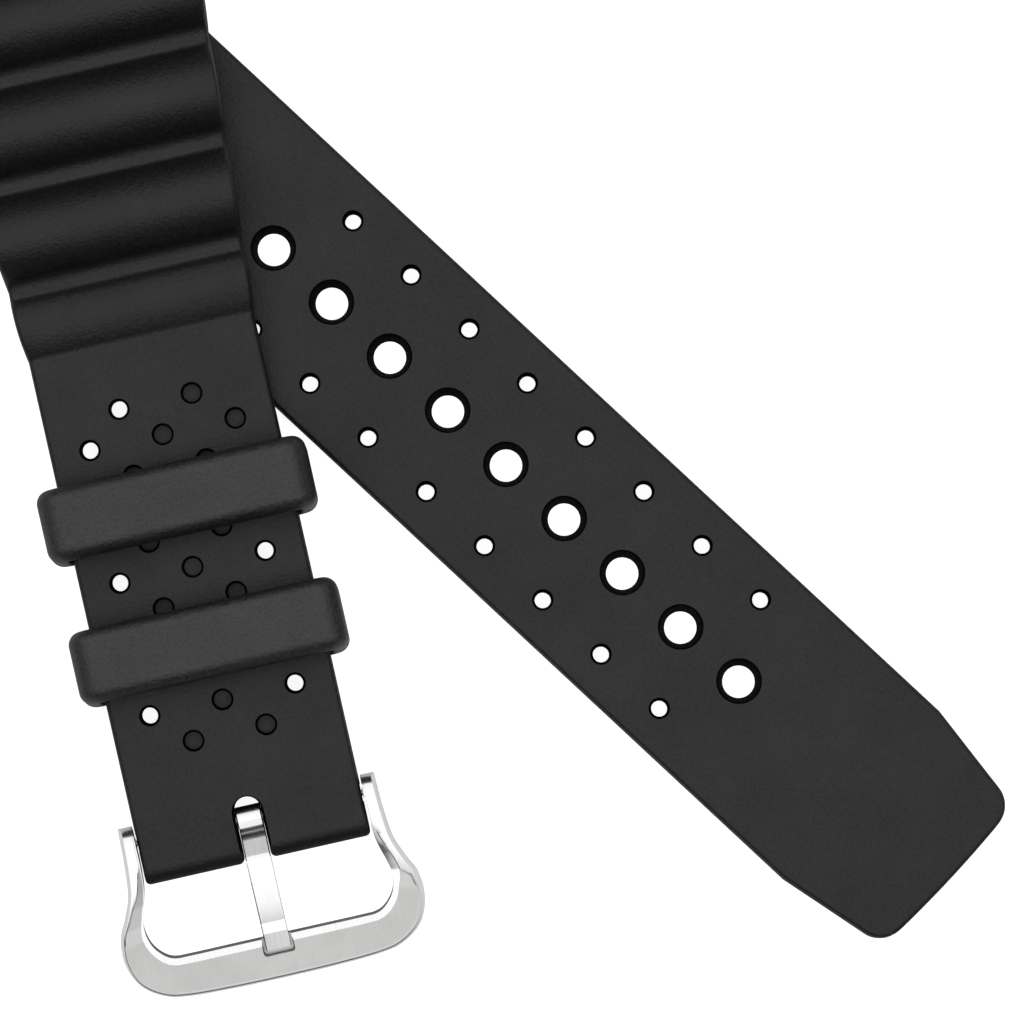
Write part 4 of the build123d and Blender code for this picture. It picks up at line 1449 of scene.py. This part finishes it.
def bar_tip(name, diameter, half, span, side, at):
    """One tip: a head held inside the tube, a thin shank, and the tip that enters the watch."""
    head, shank, tip = diameter / 2 - BAR_WALL - RUNNING_GAP, SHANK_DIAMETER / 2, TIP_DIAMETER / 2
    crimp = half - BAR_CRIMP - BAR_AIR
    step, end = span / 2 - TIP_SETBACK + BAR_AIR, span / 2 + TIP_LENGTH
    profile = [(0, crimp - HEAD_LENGTH), (head, crimp - HEAD_LENGTH), (head, crimp), (shank, crimp)]
    profile += [(shank, step), (tip, step)]
    rim = rounded((end, tip), (1, 1), TIP_ROUND, 3)[::-1]
    profile += [(radius, height) for height, radius in rim] + [(0, end)]
    return turned(name, [(radius, side * height) for radius, height in profile], at, axis="X")


def bar_piece(made, node, body):
    """One finished piece of a bar."""
    made.data.materials.clear()
    made.data.materials.append(bar_steel)
    return dressed(smooth(made, SHARP), node, body)


def spring_bar(name, diameter, span, at):
    """The pieces of one bar, with its spring in two halves."""
    half = span / 2 - TIP_SETBACK - TIP_TRAVEL
    reach = half - BAR_CRIMP - BAR_AIR - HEAD_LENGTH
    bar_piece(bar_tube(name + "_sleeve", diameter, half, at), name + "_tube", name)
    for side, word in ((1, "right"), (-1, "left")):
        tip = f"{name}_tip_{word}"
        bar_piece(bar_tip(f"{name}_pin_{word}", diameter, half, span, side, at), tip, tip)
    for side, word in ((1, "right"), (-1, "left")):
        made = bar_piece(coil(f"{name}_coil_{word}", diameter, reach, side, at), name + "_spring", name)
        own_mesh(made)


spring_bar("head_bar", LUG_BAR_DIAMETER, LUG_WIDTH, place(head_axis, across_buckle_half, to_buckle))
spring_bar("buckle_bar", BUCKLE_BAR_DIAMETER, EAR_GAP, place(bar_axis, across_buckle_half, to_buckle))
spring_bar("tail_bar", LUG_BAR_DIAMETER, LUG_WIDTH, place(tail_axis, across_tail, to_tip))

# %% [markdown]
# ## Floor and lamps
# The strap lies on white. The floor's own colour is white, and to the camera and to reflections it
# adds a little of its own light, so it stays white without more light on the strap. One broad soft
# lamp hangs overhead, towards the strap's watch end, and a small weak one over the buckle.

# %% Floor and lamps
FLOOR_HALF = 4.0
FLOOR_DROP = 0.00002
FLOOR_GLOW = 0.9
GLOSSY_SHARE = 0.12
SURROUND_STRENGTH = 0.015
PICTURE_UP = Vector((0.2113, 0.9774, 0))
# Each softbox with its width and depth, how bright its face is, and where it hangs
SOFTBOXES = {
    "tent": ((3.3, 2.02), 1.02, PICTURE_UP * 0.29 + UP * 1.1),
    "front": ((0.5, 0.3), 0.14, bar_axis - PICTURE_UP * 0.09 + UP * 0.45),
}
FLOOR_FINISH = {
    "Base Color": (0.86, 0.86, 0.86, 1), "Roughness": 0.9, "Specular IOR Level": 0.1,
    "Emission Color": (1, 1, 1, 1),
}


def floor():
    """A wide pale floor that keeps the shadow."""
    mesh = bpy.data.meshes.new("floor")
    corners = [(x * FLOOR_HALF, y * FLOOR_HALF, 0) for x, y in ((-1, -1), (1, -1), (1, 1), (-1, 1))]
    mesh.from_pydata(corners, [], [(0, 1, 2, 3)])
    made = new_object("floor", mesh)
    material = bpy.data.materials.new("white_floor")
    material.use_nodes = True
    tree = material.node_tree
    for word, value in FLOOR_FINISH.items():
        tree.nodes["Principled BSDF"].inputs[word].default_value = value
    grow(tree, {
        "path": ("ShaderNodeLightPath", {}),
        "reflected": ("ShaderNodeMath", {"operation": "MULTIPLY", "1": GLOSSY_SHARE}),
        "seen": ("ShaderNodeMath", {"operation": "ADD"}),
        "both": ("ShaderNodeMath", {"operation": "ADD"}),
        "glow": ("ShaderNodeMath", {"operation": "MULTIPLY", "1": FLOOR_GLOW}),
    }, """
        path.Is Camera Ray > seen.0
        path.Is Glossy Ray > reflected.0
        reflected.0 > seen.1
        seen.0 > both.0
        path.Is Transmission Ray > both.1
        both.0 > glow.0
        glow.0 > Principled BSDF.Emission Strength
    """)
    made.data.materials.append(material)
    made.location.z = -FLOOR_DROP


def faced(where, right, upwards, backwards):
    """A place in the row's frame, turned by three ways at right angles."""
    turn = Matrix((right, upwards, backwards)).transposed()
    return Matrix.Translation(where) @ turn.to_4x4()


def lamp(name, size, radiance, where):
    """A softbox of some width and depth that points straight down, by how bright its face is."""
    data = bpy.data.lights.new(name, "AREA")
    data.shape = "RECTANGLE"
    data.size, data.size_y = size
    data.energy = radiance * math.pi * data.size * data.size_y
    made = new_object(name, data)
    right = PICTURE_UP.cross(UP).normalized()
    made.matrix_world = faced(where, right, UP.cross(right), UP)
    made.visible_camera = False


def world():
    """A pale even surround."""
    made = bpy.data.worlds.new("surround")
    made.use_nodes = True
    background = made.node_tree.nodes["Background"]
    background.inputs["Color"].default_value = (1, 1, 1, 1)
    background.inputs["Strength"].default_value = SURROUND_STRENGTH
    bpy.context.scene.world = made


floor()
for name, (size, radiance, where) in SOFTBOXES.items():
    lamp(name, size, radiance, where)
world()
print("lamps:", list(SOFTBOXES), "surround", SURROUND_STRENGTH)
bpy.context.scene.view_settings.view_transform = "Standard"

# %% [markdown]
# ## Camera
# The photograph is taken from nearly straight above with a long lens. The camera's place, turn and lens
# were found by matching the middles of 29 holes of both halves with the photograph, and are given in
# millimetres in the row's frame. The point below it lies towards the picture's lower edge, so the upper
# walls of the holes are seen, and the lower sides of the keepers.

# %% Camera
CAMERA_AT = (8.86, -57.42, 800.0)
CAMERA_TARGET = (14.408, -24.855, 2.5)
CAMERA_RIGHT = (0.97548, -0.22006, -0.0022)
CAMERA_LENS = 325.47
CAMERA_SENSOR = 36
CAMERA_CLIP = 0.01, 10


def camera():
    """The camera above the strap, turned as the photograph is."""
    where, target, right = Vector(CAMERA_AT) * MM, Vector(CAMERA_TARGET) * MM, Vector(CAMERA_RIGHT)
    backwards = (where - target).normalized()
    upwards = backwards.cross(right).normalized()
    data = bpy.data.cameras.new("camera")
    data.sensor_width = CAMERA_SENSOR
    data.lens = CAMERA_LENS
    data.clip_start, data.clip_end = CAMERA_CLIP
    made = new_object("camera", data)
    made.matrix_world = faced(where, upwards.cross(backwards), upwards, backwards)
    bpy.context.scene.camera = made
    print("camera lens", data.lens, "mm at", [round(v, 4) for v in where])


camera()
